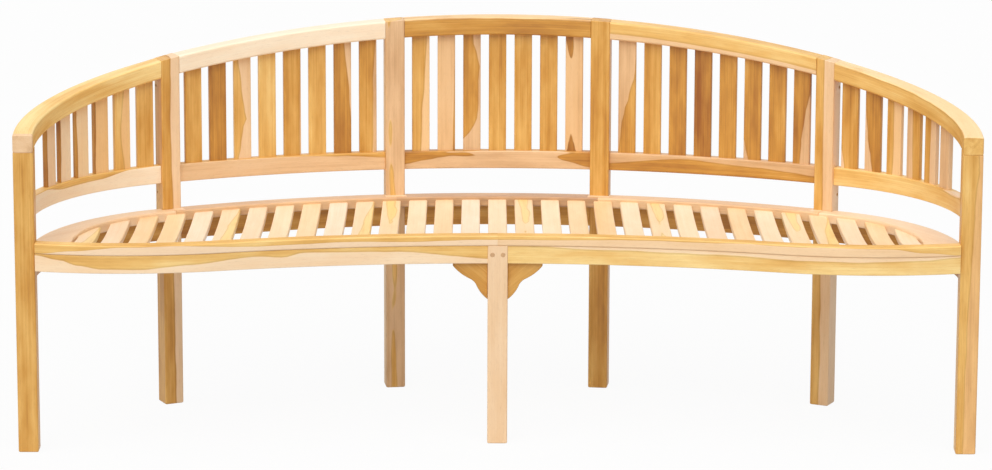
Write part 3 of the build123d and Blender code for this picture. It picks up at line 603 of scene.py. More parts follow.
def plain_steel(name):
    """Dull screw steel with fine turning marks."""
    material = bpy.data.materials.new(name)
    net = cleared(material)
    place = net.add("ShaderNodeTexCoord", None, None, "Object")
    marks = net.add("ShaderNodeTexNoise", None, {"Vector": place, "Scale": 900.0, "Detail": 3.0})
    tint = marks.blend(color(120, 116, 110), color(170, 166, 158))
    finish_surface(net, {"Base Color": tint, "Metallic": 1.0, "Roughness": 0.32 + marks * 0.2})
    return material


# The woods, with how much darker than the middle tone each kind of board is
WOODS = {
    "post_wood": 0.02,
    "rail_wood": 0.02,
    "back_slat_wood": 0.06,
    # The seat wood is paler than the middle tone: partly pale wood, partly a painted highlight for the light
    # on the seat's tops.
    "seat_wood": -0.05,
    "apron_wood": 0.0,
    "peg_wood": 0.22,
}
MATERIALS = {name: hardwood(name, bias) for name, bias in WOODS.items()}
MATERIALS["screw_steel"] = plain_steel("screw_steel")


def named_tree(name, numbers):
    """Empty geometry tree with named number inputs, a material input and its group nodes."""
    tree = bpy.data.node_groups.new(name, "GeometryNodeTree")
    kinds = [("Geometry", "Geometry"), *[(label, "Float") for label in numbers], ("Material", "Material")]
    for label, kind in kinds:
        tree.interface.new_socket(name=label, in_out="INPUT", socket_type="NodeSocket" + kind)
    tree.interface.new_socket(name="Geometry", in_out="OUTPUT", socket_type="NodeSocketGeometry")
    source = tree.nodes.new("NodeGroupInput")
    return Wire(tree), {socket.name: Wire(tree, socket) for socket in source.outputs if socket.name}


def close_tree(net, geometry, material):
    """Smooth shading with sharp corners, then real geometry with its material."""
    smooth = net.add("GeometryNodeSetShadeSmooth", {"domain": "FACE"},
                     {"Geometry": geometry, "Shade Smooth": True})
    angle = net.add("GeometryNodeInputMeshEdgeAngle", None, None, "Unsigned Angle")
    sharp = net.add("FunctionNodeCompare", {"operation": "GREATER_THAN"}, {"A": angle, "B": SHARP_EDGE})
    edged = net.add("GeometryNodeSetShadeSmooth", {"domain": "EDGE"},
                    {"Geometry": smooth, "Selection": sharp, "Shade Smooth": False})
    real = net.add("GeometryNodeRealizeInstances", None, {"Geometry": edged})
    done = net.add("GeometryNodeSetMaterial", None, {"Geometry": real, "Material": material})
    net.add("NodeGroupOutput", None, {"Geometry": done})


def board_tree():
    """Sweeps a section with eased edges along each line, notes where every point lies in its board, trims the
    ends to their cutting planes and lifts the board to its place."""
    net, given = named_tree("eased_board", ["Width", "Height", "Ease"])

    def stored(label, kind="FLOAT_VECTOR"):
        return net.add("GeometryNodeInputNamedAttribute", {"data_type": kind}, {"Name": label})

    curve = net.add("GeometryNodeMeshToCurve", None, {"Mesh": given["Geometry"]})
    framed = net.add("GeometryNodeSetCurveNormal", {"mode": "FREE"},
                     {"Curve": curve, "Normal": stored("facing")})
    section = net.add("GeometryNodeCurvePrimitiveQuadrilateral", None,
                      {"Width": given["Height"], "Height": given["Width"]})
    eased = net.add("GeometryNodeFilletCurve", {"mode": "POLY"},
                    {"Curve": section, "Count": EASE_SEGMENTS, "Radius": given["Ease"], "Limit Radius": True})
    smaller = net.math("MINIMUM", given["Width"], given["Height"])
    scale = 1 - stored("inset", "FLOAT") * 2 / smaller
    swept = net.add("GeometryNodeCurveToMesh", None,
                    {"Curve": framed, "Profile Curve": eased, "Scale": scale, "Fill Caps": True})

    place = net.add("GeometryNodeInputPosition")
    facing, tangent, cut = stored("facing"), stored("tangent"), stored("cut")
    offset = net.vector("SUBTRACT", place, stored("spine"))
    side = net.vector("CROSS_PRODUCT", facing, tangent)
    trim = 0 - offset.dot(cut) / tangent.dot(cut)
    grain = net.joined(X=stored("along", "FLOAT") + trim, Y=offset.dot(side), Z=offset.dot(facing))
    noted = net.add("GeometryNodeStoreNamedAttribute", {"data_type": "FLOAT_VECTOR", "domain": "POINT"},
                    {"Geometry": swept, "Name": "grain", "Value": grain})
    lift = net.joined(Z=stored("lift", "FLOAT"))
    move = net.vector("ADD", tangent.scaled(trim), lift)
    moved = net.add("GeometryNodeSetPosition", None, {"Geometry": noted, "Offset": move})
    close_tree(net, moved, given["Material"])
    return net.tree


BOARD_TREE = board_tree()
SWEEP_NOTES = ("spine", "tangent", "facing", "cut", "along", "inset", "lift")


def store(mesh, name, values):
    """Writes one value per point, a number or a vector."""
    if isinstance(values[0], float):
        mesh.attributes.new(name, "FLOAT", "POINT").data.foreach_set("value", values)
    else:
        flat = [part for value in values for part in value]
        mesh.attributes.new(name, "FLOAT_VECTOR", "POINT").data.foreach_set("vector", flat)


def store_wood(mesh, boards, piths):
    """Notes for every point how its board was sawn."""
    store(mesh, "pith", piths)
    store(mesh, "tone", [(board.warm, board.deep, board.sap) for board in boards])
    store(mesh, "seed", [board.seed for board in boards])


def baked(piece):
    """Evens the normals of a piece's flats, then keeps what its modifiers make as its own mesh."""
    flats = piece.modifiers.new("flats", "WEIGHTED_NORMAL")
    flats.keep_sharp = True
    depsgraph = bpy.context.evaluated_depsgraph_get()
    evaluated = piece.evaluated_get(depsgraph)
    mesh = bpy.data.meshes.new_from_object(evaluated, preserve_all_data_layers=True, depsgraph=depsgraph)
    piece.modifiers.clear()
    old = piece.data
    piece.data = mesh
    bpy.data.meshes.remove(old)
    mesh.name = piece.name


def new_piece(name, mesh):
    piece = bpy.data.objects.new(name, mesh)
    bpy.context.scene.collection.objects.link(piece)
    return piece


def run_tree(piece, tree, inputs, cutters=()):
    """Runs a geometry tree on a piece, cuts the cutters out of it and keeps the mesh."""
    modifier = piece.modifiers.new("shape", "NODES")
    modifier.node_group = tree
    for item in tree.interface.items_tree:
        if item.in_out == "INPUT" and item.name in inputs:
            modifier[item.identifier] = inputs[item.name]
    for cutter in cutters:
        cut = piece.modifiers.new("cut", "BOOLEAN")
        cut.operation = "DIFFERENCE"
        cut.solver = "EXACT"
        cut.object = cutter
    baked(piece)
    for cutter in cutters:
        bpy.data.objects.remove(cutter)


def finish_piece(piece, node):
    """Ties a finished piece to the node that it stands for."""
    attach(piece, "root")
    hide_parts(node)


def add_boards(node, strips, width, height, ease, slot, cutters=()):
    """One piece of swept boards that stands for a node."""
    mesh = bpy.data.meshes.new(node)
    points = [dict(point, strip=strip) for strip in strips for point in strip.points]
    links = [(i, i + 1) for i in range(len(points) - 1) if points[i]["strip"] is points[i + 1]["strip"]]
    mesh.from_pydata([point["spine"] for point in points], links, [])
    for note in SWEEP_NOTES:
        store(mesh, note, [point[note] for point in points])
    boards = [point["strip"].board for point in points]
    piths = [board.middle_of_tree(point["share"], width, height) for board, point in zip(boards, points)]
    store_wood(mesh, boards, piths)
    piece = new_piece("wood." + node, mesh)
    inputs = {"Width": width, "Height": height, "Ease": ease, "Material": MATERIALS[slot]}
    run_tree(piece, BOARD_TREE, inputs, cutters)
    for note in SWEEP_NOTES:
        piece.data.attributes.remove(piece.data.attributes[note])
    finish_piece(piece, node)


def as_cutter(shape, matrix):
    """Moves a shape out of its local frame and makes it a tool for cutting."""
    shape.transform(matrix)
    mesh = bpy.data.meshes.new("cutter")
    shape.to_mesh(mesh)
    shape.free()
    return new_piece("cutter", mesh)


def block(low, high, matrix):
    """Box between two corners of a local frame, for cutting."""
    shape = bmesh.new()
    bmesh.ops.create_cube(shape, size=1.0)
    local = Matrix.Translation((low + high) / 2) @ Matrix.Diagonal((*(high - low), 1.0))
    return as_cutter(shape, matrix @ local)


def plank(node, outline, matrix, thickness, ease, board, slot, grain_turn=0.0):
    """Plank with an outline drawn in x and y of a local frame, its thickness along z, and eased corners."""
    shape = bmesh.new()
    rims = []
    for level in (-thickness / 2, thickness / 2):
        rims.append([shape.verts.new((x, y, level)) for x, y in outline])
    shape.faces.new(rims[0][::-1])
    shape.faces.new(rims[1])
    for i in range(len(outline)):
        j = (i + 1) % len(outline)
        shape.faces.new((rims[0][i], rims[0][j], rims[1][j], rims[1][i]))
    bmesh.ops.recalc_face_normals(shape, faces=shape.faces)
    mesh = bpy.data.meshes.new(node)
    shape.to_mesh(mesh)
    shape.free()
    mesh.shade_smooth()
    mesh.set_sharp_from_angle(angle=SHARP_EDGE)
    mesh.materials.append(MATERIALS[slot])
    piece = new_piece("wood." + node, mesh)
    corners = piece.modifiers.new("corners", "BEVEL")
    corners.width = ease
    corners.segments = EASE_SEGMENTS
    corners.limit_method = "ANGLE"
    corners.angle_limit = SHARP_EDGE
    baked(piece)
    turn = Matrix.Rotation(-grain_turn, 3, "Z")
    spots = [turn @ vertex.co for vertex in piece.data.vertices]
    store(piece.data, "grain", spots)
    pith = board.middle_of_tree(0.5, thickness * 2, thickness)
    store_wood(piece.data, [board] * len(spots), [pith] * len(spots))
    piece.data.transform(matrix)
    finish_piece(piece, node)


SIDES = {"left": -1, "right": 1}


def post_matrix(s):
    """Frame of a back post: x along the back, y outwards, z up."""
    point, onward, outward = station(s)
    return Matrix.Translation(point) @ Matrix((onward, outward, UP)).transposed().to_4x4()


def post_end(s, toward):
    """End plane on one side of the back post at arc length s, and the arc lengths that it lies between."""
    point, onward, _ = station(s)
    return s, s + 2 * toward * POST, point + onward * (HALF_POST * toward), onward


def post_middle(s):
    """End plane through the middle of the back post at arc length s."""
    point, onward, _ = station(s)
    return s - POST, s + POST, point, onward


def arm_plane(side, y):
    """End plane across an arm at y."""
    return side * (BEND_END - 2 * POST), side * (ARM_END + POST), Vector((0, y, 0)), FRONT


def back_strip(board, out, level, start, stop, **details):
    """Board that follows the back at one distance between two end planes."""
    place = beside_back(out, level)
    line = trace(place, meeting(place, *start), meeting(place, *stop))
    return Strip(line, details.pop("facing", faces_front), board, (start[3], stop[3]), **details)


# Spans of the back between the posts, from left to right
ARM_FRONT = {side: arm_plane(sign, ARM_POST_Y) for side, sign in SIDES.items()}
ARM_POST_REAR = {side: arm_plane(sign, ARM_POST_Y + POST) for side, sign in SIDES.items()}
SPANS = {
    "end_left": (ARM_POST_REAR["left"], post_end(-OUTER_POST_S, -1)),
    "left": (post_end(-OUTER_POST_S, 1), post_end(-INNER_POST_S, -1)),
    "center": (post_end(-INNER_POST_S, 1), post_end(INNER_POST_S, -1)),
    "right": (post_end(INNER_POST_S, 1), post_end(OUTER_POST_S, -1)),
    "end_right": (post_end(OUTER_POST_S, 1), ARM_POST_REAR["right"]),
}

# Posts: the back posts first, with their tops cut to the slope of the rails
BACK_POSTS = {
    "outer_left": (-OUTER_POST_S, Board(*heart_below((0, 0.0), (1, 0.15)), deep=0.19, sap=0.22)),
    "inner_left": (-INNER_POST_S, Board((0, -0.9, -0.3), (0.3, -0.7, -0.2), (0.6, -0.3, -0.1), sap=0.52)),
    "inner_right": (INNER_POST_S, Board(deep=0.21)),
    "outer_right": (OUTER_POST_S, Board(*heart_below((0, -0.1), (1, 0.0)), deep=0.06, sap=0.34, warm=0.1)),
}
TOP_JOINT_EASE = 0.0012


def back_post(s, board):
    point, onward, outward = station(s)
    middle = point + outward * HALF_POST
    tops = [top_height(s - HALF_POST), top_height(s + HALF_POST)]
    slope = (tops[1] - tops[0]) / POST
    line = straight(middle + UP * sum(tops) / 2, middle)
    cuts = (UP - onward * slope, None)
    return Strip(line, always(-outward), board, cuts, eases=(TOP_JOINT_EASE, FOOT_EASE))


def screw_places(side):
    """Mouths of the two screw bores in an outer post, and the way in."""
    point, onward, outward = station(side * OUTER_POST_S)
    face = point + onward * (side * HALF_POST) + outward * (POST - SCREW_EDGE)
    heights = (top_height(OUTER_POST_S) - TOP_RAIL_HEIGHT - SCREW_DROP, lower_rail_low.z - SCREW_DROP)
    return [face + UP * height for height in heights], onward * -side


def round_cutter(mouth, inward, diameter, depth):
    """Round bar for cutting a bore, a little proud of its mouth."""
    shape = bmesh.new()
    radius = diameter / 2
    length = depth + radius
    bmesh.ops.create_cone(shape, cap_ends=True, segments=BORE_SIDES, radius1=radius, radius2=radius,
                          depth=length)
    turn = inward.to_track_quat("Z", "Y").to_matrix().to_4x4()
    return as_cutter(shape, Matrix.Translation(mouth + inward * (length / 2 - radius)) @ turn)


for post, (s, board) in BACK_POSTS.items():
    bores = []
    if abs(s) == OUTER_POST_S:
        mouths, inward = screw_places(1 if s > 0 else -1)
        bores = [round_cutter(mouth, inward, *SCREW_BORE) for mouth in mouths]
    add_boards("back_post_" + post, [back_post(s, board)], POST, POST, POST_EASE, "post_wood", bores)

# Arm posts, cut to the underside of the arms, and the centre leg
ARM_POSTS = {
    "left": Board(deep=0.16),
    "right": Board(*heart_below((0, 0.6), (0.06, 0.75), (0.15, 0.45), (0.35, 0.1), (0.6, -0.1), (1, -0.3)),
                   deep=0.06, sap=0.48, warm=1.0),
}
for side, sign in SIDES.items():
    middle = Vector((sign * (ARM_INNER_X + HALF_POST), ARM_POST_Y + HALF_POST, 0))
    fall = (top_height(ARM_END) - top_height(BEND_END - HALF_POST)) / POST
    top = top_height(BEND_END) - TOP_RAIL_HEIGHT + SNUG
    strip = Strip(straight(middle + UP * top, middle), always(FRONT), ARM_POSTS[side],
                  (UP - FRONT * fall, None), eases=(JOINT_EASE, FOOT_EASE))
    add_boards("arm_post_" + side, [strip], POST, POST, POST_EASE, "post_wood")

leg_middle = Vector((0, FRONT_MIDDLE_Y + HALF_POST, 0))
leg_line = straight(leg_middle + UP * FRONT_BOARD_BOTTOM, leg_middle)
leg_board = Board(SAPWOOD, sap=0.30)
leg_strip = Strip(leg_line, always(FRONT), leg_board, eases=(JOINT_EASE, FOOT_EASE))
add_boards("front_center_leg", [leg_strip], POST, POST, POST_EASE, "post_wood")

# Top rails and arms
TOP_RAILS = {
    "left": Board(SAPWOOD, sap=-0.22),
    "center": Board(*heart_below((0.5, 0.85)), deep=0.30, sap=0.10, warm=0.9, pith=NEAR_PITH),
    "right": Board(*heart_above((0, -0.30), (1, -0.45)), deep=-0.08, sap=0.26, warm=0.3),
}


def rail_lift(s):
    """Middle of the top rails and the arms at arc length s."""
    return top_height(s) - TOP_RAIL_HEIGHT / 2


for span, board in TOP_RAILS.items():
    strip = back_strip(board, HALF_POST, 0.0, *SPANS[span], lift=rail_lift)
    add_boards("top_rail_" + span, [strip], TOP_RAIL_HEIGHT, POST, TOP_RAIL_EASE, "rail_wood")

ARM_EASE = 0.0025
left_board = Board((0, *NO_HEART), (0.01, *NO_HEART), (0.03, *ALL_HEART), (1, *ALL_HEART), deep=-0.20,
                   sap=0.46)
right_board = Board(*heart_below((0.5, 0.85)), sap=-0.05, warm=0.9, pith=NEAR_PITH)
ARM_RAILS = {
    "left": (left_board, (ARM_FRONT["left"], SPANS["end_left"][1]), (ARM_EASE, JOINT_EASE)),
    "right": (right_board, (SPANS["end_right"][0], ARM_FRONT["right"]), (JOINT_EASE, ARM_EASE)),
}
for side, (board, ends, eases) in ARM_RAILS.items():
    strip = back_strip(board, HALF_POST, 0.0, *ends, lift=rail_lift, eases=eases)
    add_boards("arm_rail_" + side, [strip], TOP_RAIL_HEIGHT, POST, TOP_RAIL_EASE, "rail_wood")

# Lower rails of the back
LOWER_RAILS = {
    "end_left": Board((0, 1.4, 2), (0.22, 1.0, 2), (0.42, 0.35, 2), (0.65, 0.4, 2), (0.88, 1.1, 2),
                      (1, 1.4, 2), deep=-0.06, sap=-0.26),
    "left": Board((0, 1.3, 2), (0.5, 1.0, 2), (0.8, 0.75, 2), (1, 0.4, 2), deep=0.06, sap=0.42),
    "center": Board((0, -0.4, 1.3), (0.12, 0.1, 1.2), (0.2, 0.5, 0.75), (0.24, 0.8, 0.4), (0.7, 0.6, 0.1),
                    (0.78, 0.3, 0.4), (0.88, -0.2, 0.8), (1, -0.7, 1.2), deep=0.30, sap=0.49),
    "right": Board(*heart_below((0, -0.1), (0.35, 0.55), (0.7, 0.25), (1, -0.2)), deep=0.30, sap=0.56,
                   warm=0.2),
    "end_right": Board(*heart_below((0, FAR), (0.5, 1.2), (0.8, 0.8), (1, 1.1)), deep=-0.20, sap=0.1),
}
for span, board in LOWER_RAILS.items():
    strip = back_strip(board, HALF_POST, LOWER_RAIL_Z, *SPANS[span])
    add_boards("lower_rail_" + span, [strip], LOWER_RAIL_HEIGHT, LOWER_RAIL_DEPTH, LOWER_RAIL_EASE,
               "rail_wood")

# Slats of the back, from left to right in each panel
BACK_SLATS = {
    "end_left": [
        # The first four slats here carry a dark strip along their left edges, written as heartwood: it is
        # painted shade on the side faces that turn away from the light.
        Board(*heart_below((0.5, -0.85)), deep=0.36),
        Board(*heart_below((0.5, -0.85)), deep=0.36, sap=-0.16, warm=0.1),
        Board(*heart_below((0.5, -0.85)), deep=0.36, sap=-0.10, warm=0.5),
        Board(*heart_below((0.5, -0.85)), deep=0.36, sap=0.12, warm=0.9),
        Board(*heart_below((0, 0.3), (0.6, -0.2), (1, 0.2)), deep=-0.08, sap=0.20, warm=0.9),
        Board(deep=0.04),
    ],
    "left": [
        Board(deep=0.10),
        Board(deep=0.38),
        Board(*heart_below((0, -0.5), (0.33, -0.2), (0.5, 0.1), (0.6, 0.4), (0.68, -0.05), (0.8, -0.3),
                           (1, -0.65)), deep=-0.02, sap=0.22, warm=0.2),
        Board(deep=-0.06),
        Board(*heart_below((0, 0.85), (1, 0.80)), deep=0.15, sap=0.45),
        Board(deep=0.04),
        Board(*heart_below((0, 0.2), (0.5, 0.8), (1, 1.4)), deep=0.37, sap=0.46),
        Board(*heart_below((0, 0.9), (0.4, 0.55), (1, 0.5)), deep=0.22, sap=0.52),
    ],
    "center": [
        Board(*heart_below((0, 0.65), (0.4, 0.45), (0.65, 0.15), (1, 0.0)), deep=0.09, sap=0.14, warm=0.7),
        Board(*heart_above((0, 1.2), (0.3, 0.95), (1, 0.75)), deep=0.30, sap=0.40, warm=0.4),
        Board(*heart_below((0, 0.15), (0.12, 0.2), (0.2, 0.5), (0.3, 0.75), (0.4, 0.6), (0.6, 0.75),
                           (0.72, 0.6), (0.8, -0.1), (0.87, -1.2), (1, -1.5)), deep=0.31, sap=0.52),
        Board(deep=0.13),
        Board(deep=0.07),
        Board(deep=0.16),
        Board((0, -0.95, -0.05), (0.12, -0.7, -0.1), (0.27, -0.35, -0.45), (0.35, 0.2, -0.6),
              (0.75, 0.2, -0.6), (0.85, -0.4, -0.4), (0.92, -0.6, 0.1), (1, -0.9, 0.6), deep=0.48, sap=0.38,
              warm=0.5),
    ],
    "right": [
        Board(*heart_above((0, 1.3), (0.3, 0.9), (0.5, 0.3), (0.6, -0.2), (0.75, -0.6), (1, -0.9)), deep=0.18,
              sap=0.46, warm=0.2),
        Board(deep=0.17),
        Board(deep=0.32),
        Board(deep=0.44),
        Board(deep=0.25),
        Board(*heart_above((0, -FAR), (0.7, -1.3), (0.8, -0.8), (1, -0.3)), deep=0.28, sap=0.50),
        Board(deep=0.31),
        Board(*heart_below((0, 1.5), (0.25, 1.0), (0.5, 0.5), (0.75, 0.0), (1, -0.2)), deep=0.36, sap=0.52),
    ],
    "end_right": [
        Board(*heart_above((0, -FAR), (0.5, -1.3), (1, -0.5)), deep=0.10, sap=0.30),
        Board((0, -1.0, 0.9), (0.3, -0.85, 1.0), (0.55, -0.6, 1.1), (0.8, -0.2, 1.2), (1, 0.1, 1.3),
              deep=0.36, sap=0.40),
        Board(*heart_below((0, -0.1), (1, -0.1)), deep=-0.02, sap=0.10, warm=0.7),
        Board(*heart_above((0, -0.1), (1, 0.0)), deep=0.12, sap=0.45),
        Board(*heart_below((0, 0.1), (1, 0.0)), deep=0.07, sap=0.32),
        Board(SAPWOOD, sap=0.40),
    ],
}


def even_places(start_s, end_s):
    """Middles of the slats that fill a panel of the back evenly."""
    pitch = BACK_SLAT[0] + BACK_SLAT_GAP
    count = int((end_s - start_s - 2 * BACK_SLAT_END_GAP + BACK_SLAT_GAP) // pitch)
    middle = (start_s + end_s) / 2
    return [middle + (i - (count - 1) / 2) * pitch for i in range(count)]


arm_first = OUTER_POST_S + HALF_POST + ARM_SLAT_FIRST_GAP + BACK_SLAT[0] / 2
arm_places = [arm_first + i * (BACK_SLAT[0] + ARM_SLAT_GAP) for i in range(ARM_SLAT_COUNT)]
side_places = even_places(INNER_POST_S + HALF_POST, OUTER_POST_S - HALF_POST)
SLAT_PLACES = {
    "end_left": [-s for s in reversed(arm_places)],
    "left": [-s for s in reversed(side_places)],
    "center": even_places(HALF_POST - INNER_POST_S, INNER_POST_S - HALF_POST),
    "right": side_places,
    "end_right": arm_places,
}
SLAT_STEP = 0.016


def back_slat(s, board):
    point, _, outward = station(s)
    middle = point + outward * HALF_POST
    top = top_height(s) - TOP_RAIL_HEIGHT + BACK_SLAT_HOUSING
    bottom = lower_rail_high.z - BACK_SLAT_HOUSING
    line = straight(middle + UP * top, middle + UP * bottom, SLAT_STEP)
    return Strip(line, always(-outward), board)


for span, looks in BACK_SLATS.items():
    strips = [back_slat(s, board) for s, board in zip(SLAT_PLACES[span], looks)]
    add_boards("back_slats_" + span, strips, *BACK_SLAT, BACK_SLAT_EASE, "back_slat_wood")

# Aprons behind the seat
BACK_APRONS = {
    "end_left": Board(deep=0.30),
    "left": Board(deep=0.34, warm=0.2),
    "center": Board(deep=0.26),
    "right": Board(deep=0.32, warm=0.2),
    "end_right": Board(deep=0.30),
}
for span, board in BACK_APRONS.items():
    strip = back_strip(board, BACK_APRON_OUT, BACK_APRON_Z, *SPANS[span])
    add_boards("back_apron_" + span, [strip], BACK_APRON_HEIGHT, APRON_DEPTH, APRON_EASE, "apron_wood")

# Back seat boards: they meet at the posts and are notched round them
BOARD_OUT = (BACK_BOARD_REAR - BACK_BOARD_FRONT) / 2
BACK_BOARD_WIDTH = BACK_BOARD_FRONT + BACK_BOARD_REAR
BACK_BOARD_THICKNESS = back_board_high.z - back_board_low.z
BACK_BOARD_Z = (back_board_low.z + back_board_high.z) / 2
# Their sapwood is set darker than the rest of the seat: partly the boards' own darker wood, partly painted
# shade from the back above them.
BACK_BOARDS = {
    "left": ((-OUTER_POST_S, -INNER_POST_S), Board(SAPWOOD, sap=0.66)),
    "center": ((-INNER_POST_S, INNER_POST_S), Board(SAPWOOD, sap=0.82)),
    "right": ((INNER_POST_S, OUTER_POST_S), Board(SAPWOOD, sap=0.55)),
}


def notch(s):
    """Room for a back post in a seat board."""
    low = Vector((-HALF_POST - SNUG, -SNUG, back_board_low.z - POST))
    high = Vector((HALF_POST + SNUG, POST + SNUG, back_board_high.z + POST))
    return block(low, high, post_matrix(s))


for span, (posts, board) in BACK_BOARDS.items():
    ends = [post_middle(s) for s in posts]
    strip = back_strip(board, BOARD_OUT, BACK_BOARD_Z, *ends, facing=always(UP))
    add_boards("back_seat_board_" + span, [strip], BACK_BOARD_WIDTH, BACK_BOARD_THICKNESS, BACK_BOARD_EASE,
               "seat_wood", [notch(s) for s in posts])

# End seat boards: crescents between the arms and the seat's tighter corners
END_BOARDS = {"left": Board(SAPWOOD, sap=0.30), "right": Board(SAPWOOD, sap=0.25)}
END_BOARD_GRAIN = radians(-54)
CORNER_STEPS = 24


def end_board_outline():
    """Plan of the right end board, from the outer post round the corner to the front board and back."""
    inside, outside = beside_back(-BACK_BOARD_FRONT, 0.0), beside_back(BACK_BOARD_REAR, 0.0)
    radius = CORNER_RADIUS - BACK_BOARD_FRONT
    edge = [inside(OUTER_POST_S), inside((OUTER_POST_S + BEND_START) / 2)]
    for i in range(CORNER_STEPS + 1):
        angle = BEND_ANGLE + (pi / 2 - BEND_ANGLE) * i / CORNER_STEPS
        edge.append(Vector((CORNER_X + radius * sin(angle), CORNER_Y + radius * cos(angle), 0)))
    front = beside_front(FRONT_BOARD_WIDTH, 0.0)
    edge += [front(CORNER_X + radius), front(ARM_INNER_X - SNUG)]
    edge.append(Vector((ARM_INNER_X - SNUG, ARM_POST_Y + POST + SNUG, 0)))
    arm_s = meeting(outside, *ARM_POST_REAR["right"])
    post_s = meeting(outside, *post_end(OUTER_POST_S, 1))
    edge += [outside(arm_s + (post_s - arm_s) * i / CORNER_STEPS) for i in range(CORNER_STEPS + 1)]
    point, onward, outward = station(OUTER_POST_S)
    edge += [point + onward * HALF_POST - outward * SNUG, point - outward * SNUG]
    return edge


end_board_edge = end_board_outline()
end_board_middle = sum(end_board_edge, Vector()) / len(end_board_edge)
for side, sign in SIDES.items():
    local = [point - end_board_middle for point in end_board_edge]
    outline = [(sign * point.x, point.y) for point in local]
    place = Matrix.Translation((sign * end_board_middle.x, end_board_middle.y, BACK_BOARD_Z))
    plank("back_seat_board_end_" + side, outline, place, BACK_BOARD_THICKNESS, BACK_BOARD_EASE,
          END_BOARDS[side], "seat_wood", grain_turn=sign * END_BOARD_GRAIN)

# Front seat boards and aprons
FRONT_BOARDS = {
    "left": Board((0, -2.9, 2.9), (0.08, -2.3, 2.3), (0.19, -1.5, 1.5), (0.3, -1.5, 1.5), (0.48, -2.0, 2.0),
                  (0.8, -2.0, 2.0), (1, -1.9, 1.9), pith=-PITH_DEPTH, deep=0.03, sap=0.14),
    "right": Board((0, -1.9, 1.9), (0.5, -1.5, 1.5), (0.85, -1.3, 1.3), (0.93, -2.2, 2.2), (1, -2.9, 2.9),
                   pith=-PITH_DEPTH, deep=0.03, sap=0.25, warm=0.3),
}
FRONT_APRONS = {
    "left": Board(*heart_above((0, 0.9), (0.054, 0.47), (0.096, -0.14), (0.143, -0.49), (0.223, -0.5),
                               (0.335, -0.14), (0.478, 0.45), (0.545, 0.17), (0.59, 0.6), (0.8, 0.43),
                               (1, -0.4)), deep=-0.04, sap=0.02, warm=0.2),
    "right": Board(*heart_below((0, 0.9), (0.5, 0.6), (0.7, 0.45), (0.9, 0.6), (1, 0.9)), deep=-0.16,
                   sap=0.06, warm=0.3),
}
FRONT_BOARD_THICKNESS = SEAT_HEIGHT - FRONT_BOARD_BOTTOM
FRONT_BOARD_Z = (SEAT_HEIGHT + FRONT_BOARD_BOTTOM) / 2


def front_strip(board, inset, level, near, far, **details):
    """Board that follows the seat's front edge between two x."""
    line = trace(beside_front(inset, level), near, far)
    return Strip(line, details.pop("facing", faces_front), board, (RIGHT, RIGHT), **details)


for side, sign in SIDES.items():
    near, far = sorted((0.0, sign * ARM_INNER_X))
    strip = front_strip(FRONT_BOARDS[side], FRONT_BOARD_WIDTH / 2, FRONT_BOARD_Z, near, far,
                        facing=always(UP))
    add_boards("front_seat_board_" + side, [strip], FRONT_BOARD_WIDTH, FRONT_BOARD_THICKNESS,
               FRONT_BOARD_EASE, "seat_wood")
    near, far = sorted((sign * HALF_POST, sign * ARM_INNER_X))
    strip = front_strip(FRONT_APRONS[side], FRONT_APRON_INSET, FRONT_APRON_Z, near, far)
    add_boards("front_apron_" + side, [strip], FRONT_APRON_HEIGHT, APRON_DEPTH, APRON_EASE, "apron_wood")

# Seat slats, dished from back to front, with their ends cut along the boards and let into them
SEAT_SLAT_PITCH = SEAT_SLAT[0] + SEAT_SLAT_GAP
SEAT_SLAT_COUNT = 15
SEAT_SLAT_TONGUE = 0.002
SEAT_SLAT_STEP = 0.018
SEAT_SHADE = 0.04
SEAT_SHADE_TURN = 2.3
SEAT_LOOKS = [
    Board(SAPWOOD, sap=-0.10, warm=0.3),
    Board(SAPWOOD, sap=-0.04, warm=0.6),
    Board(SAPWOOD, sap=0.08, warm=0.1),
    Board((0, -0.6, 0.5), (0.35, -0.3, 0.5), (0.7, 0.3, -0.2), deep=-0.32, sap=-0.06, warm=0.5),
    Board(SAPWOOD, sap=-0.06),
    Board(SAPWOOD, sap=0.02, warm=0.7),
    Board(SAPWOOD, sap=-0.14, warm=0.4),
    Board(*heart_above((0, 0.9), (0.5, 0.1), (1, -0.2)), deep=-0.30, sap=-0.04, warm=0.4),
]


def seat_top(share):
    """Top of the seat slats at a share of the way from back to front."""
    return SLAT_BACK_TOP + (SLAT_FRONT_TOP - SLAT_BACK_TOP) * share - 4 * SEAT_DISH * share * (1 - share)


def seat_slat(x, board):
    back, front = back_edge(x, BACK_BOARD_FRONT), front_edge(x, FRONT_BOARD_WIDTH)
    length = back - front

    def place(run):
        return Vector((x, back - run, seat_top(run / length) - SEAT_SLAT[1] / 2))

    line = trace(place, -SEAT_SLAT_TONGUE, length + SEAT_SLAT_TONGUE, SEAT_SLAT_STEP)
    cuts = slope_of(back_edge, x, BACK_BOARD_FRONT), slope_of(front_edge, x, FRONT_BOARD_WIDTH)
    return Strip(line, lambda tangent: tangent.cross(RIGHT), board, cuts)


def seat_group(x):
    """Name of the group of seat slats that a slat at x belongs to."""
    if abs(x) < INNER_POST_X:
        return "center"
    side = "left" if x < 0 else "right"
    return side if abs(x) < OUTER_POST_X else "end_" + side


seat_groups = {}
for i in range(-SEAT_SLAT_COUNT, SEAT_SLAT_COUNT + 1):
    x = i * SEAT_SLAT_PITCH
    look = SEAT_LOOKS[(i * 3 + i // 4) % len(SEAT_LOOKS)]
    shade = SEAT_SHADE * sin(i * SEAT_SHADE_TURN)
    twin = Board(*look.heart, warm=look.warm, deep=look.deep + shade, sap=look.sap + shade)
    seat_groups.setdefault(seat_group(x), []).append(seat_slat(x, twin))
for group, strips in seat_groups.items():
    add_boards("seat_slats_" + group, strips, *SEAT_SLAT, SEAT_SLAT_EASE, "seat_wood")


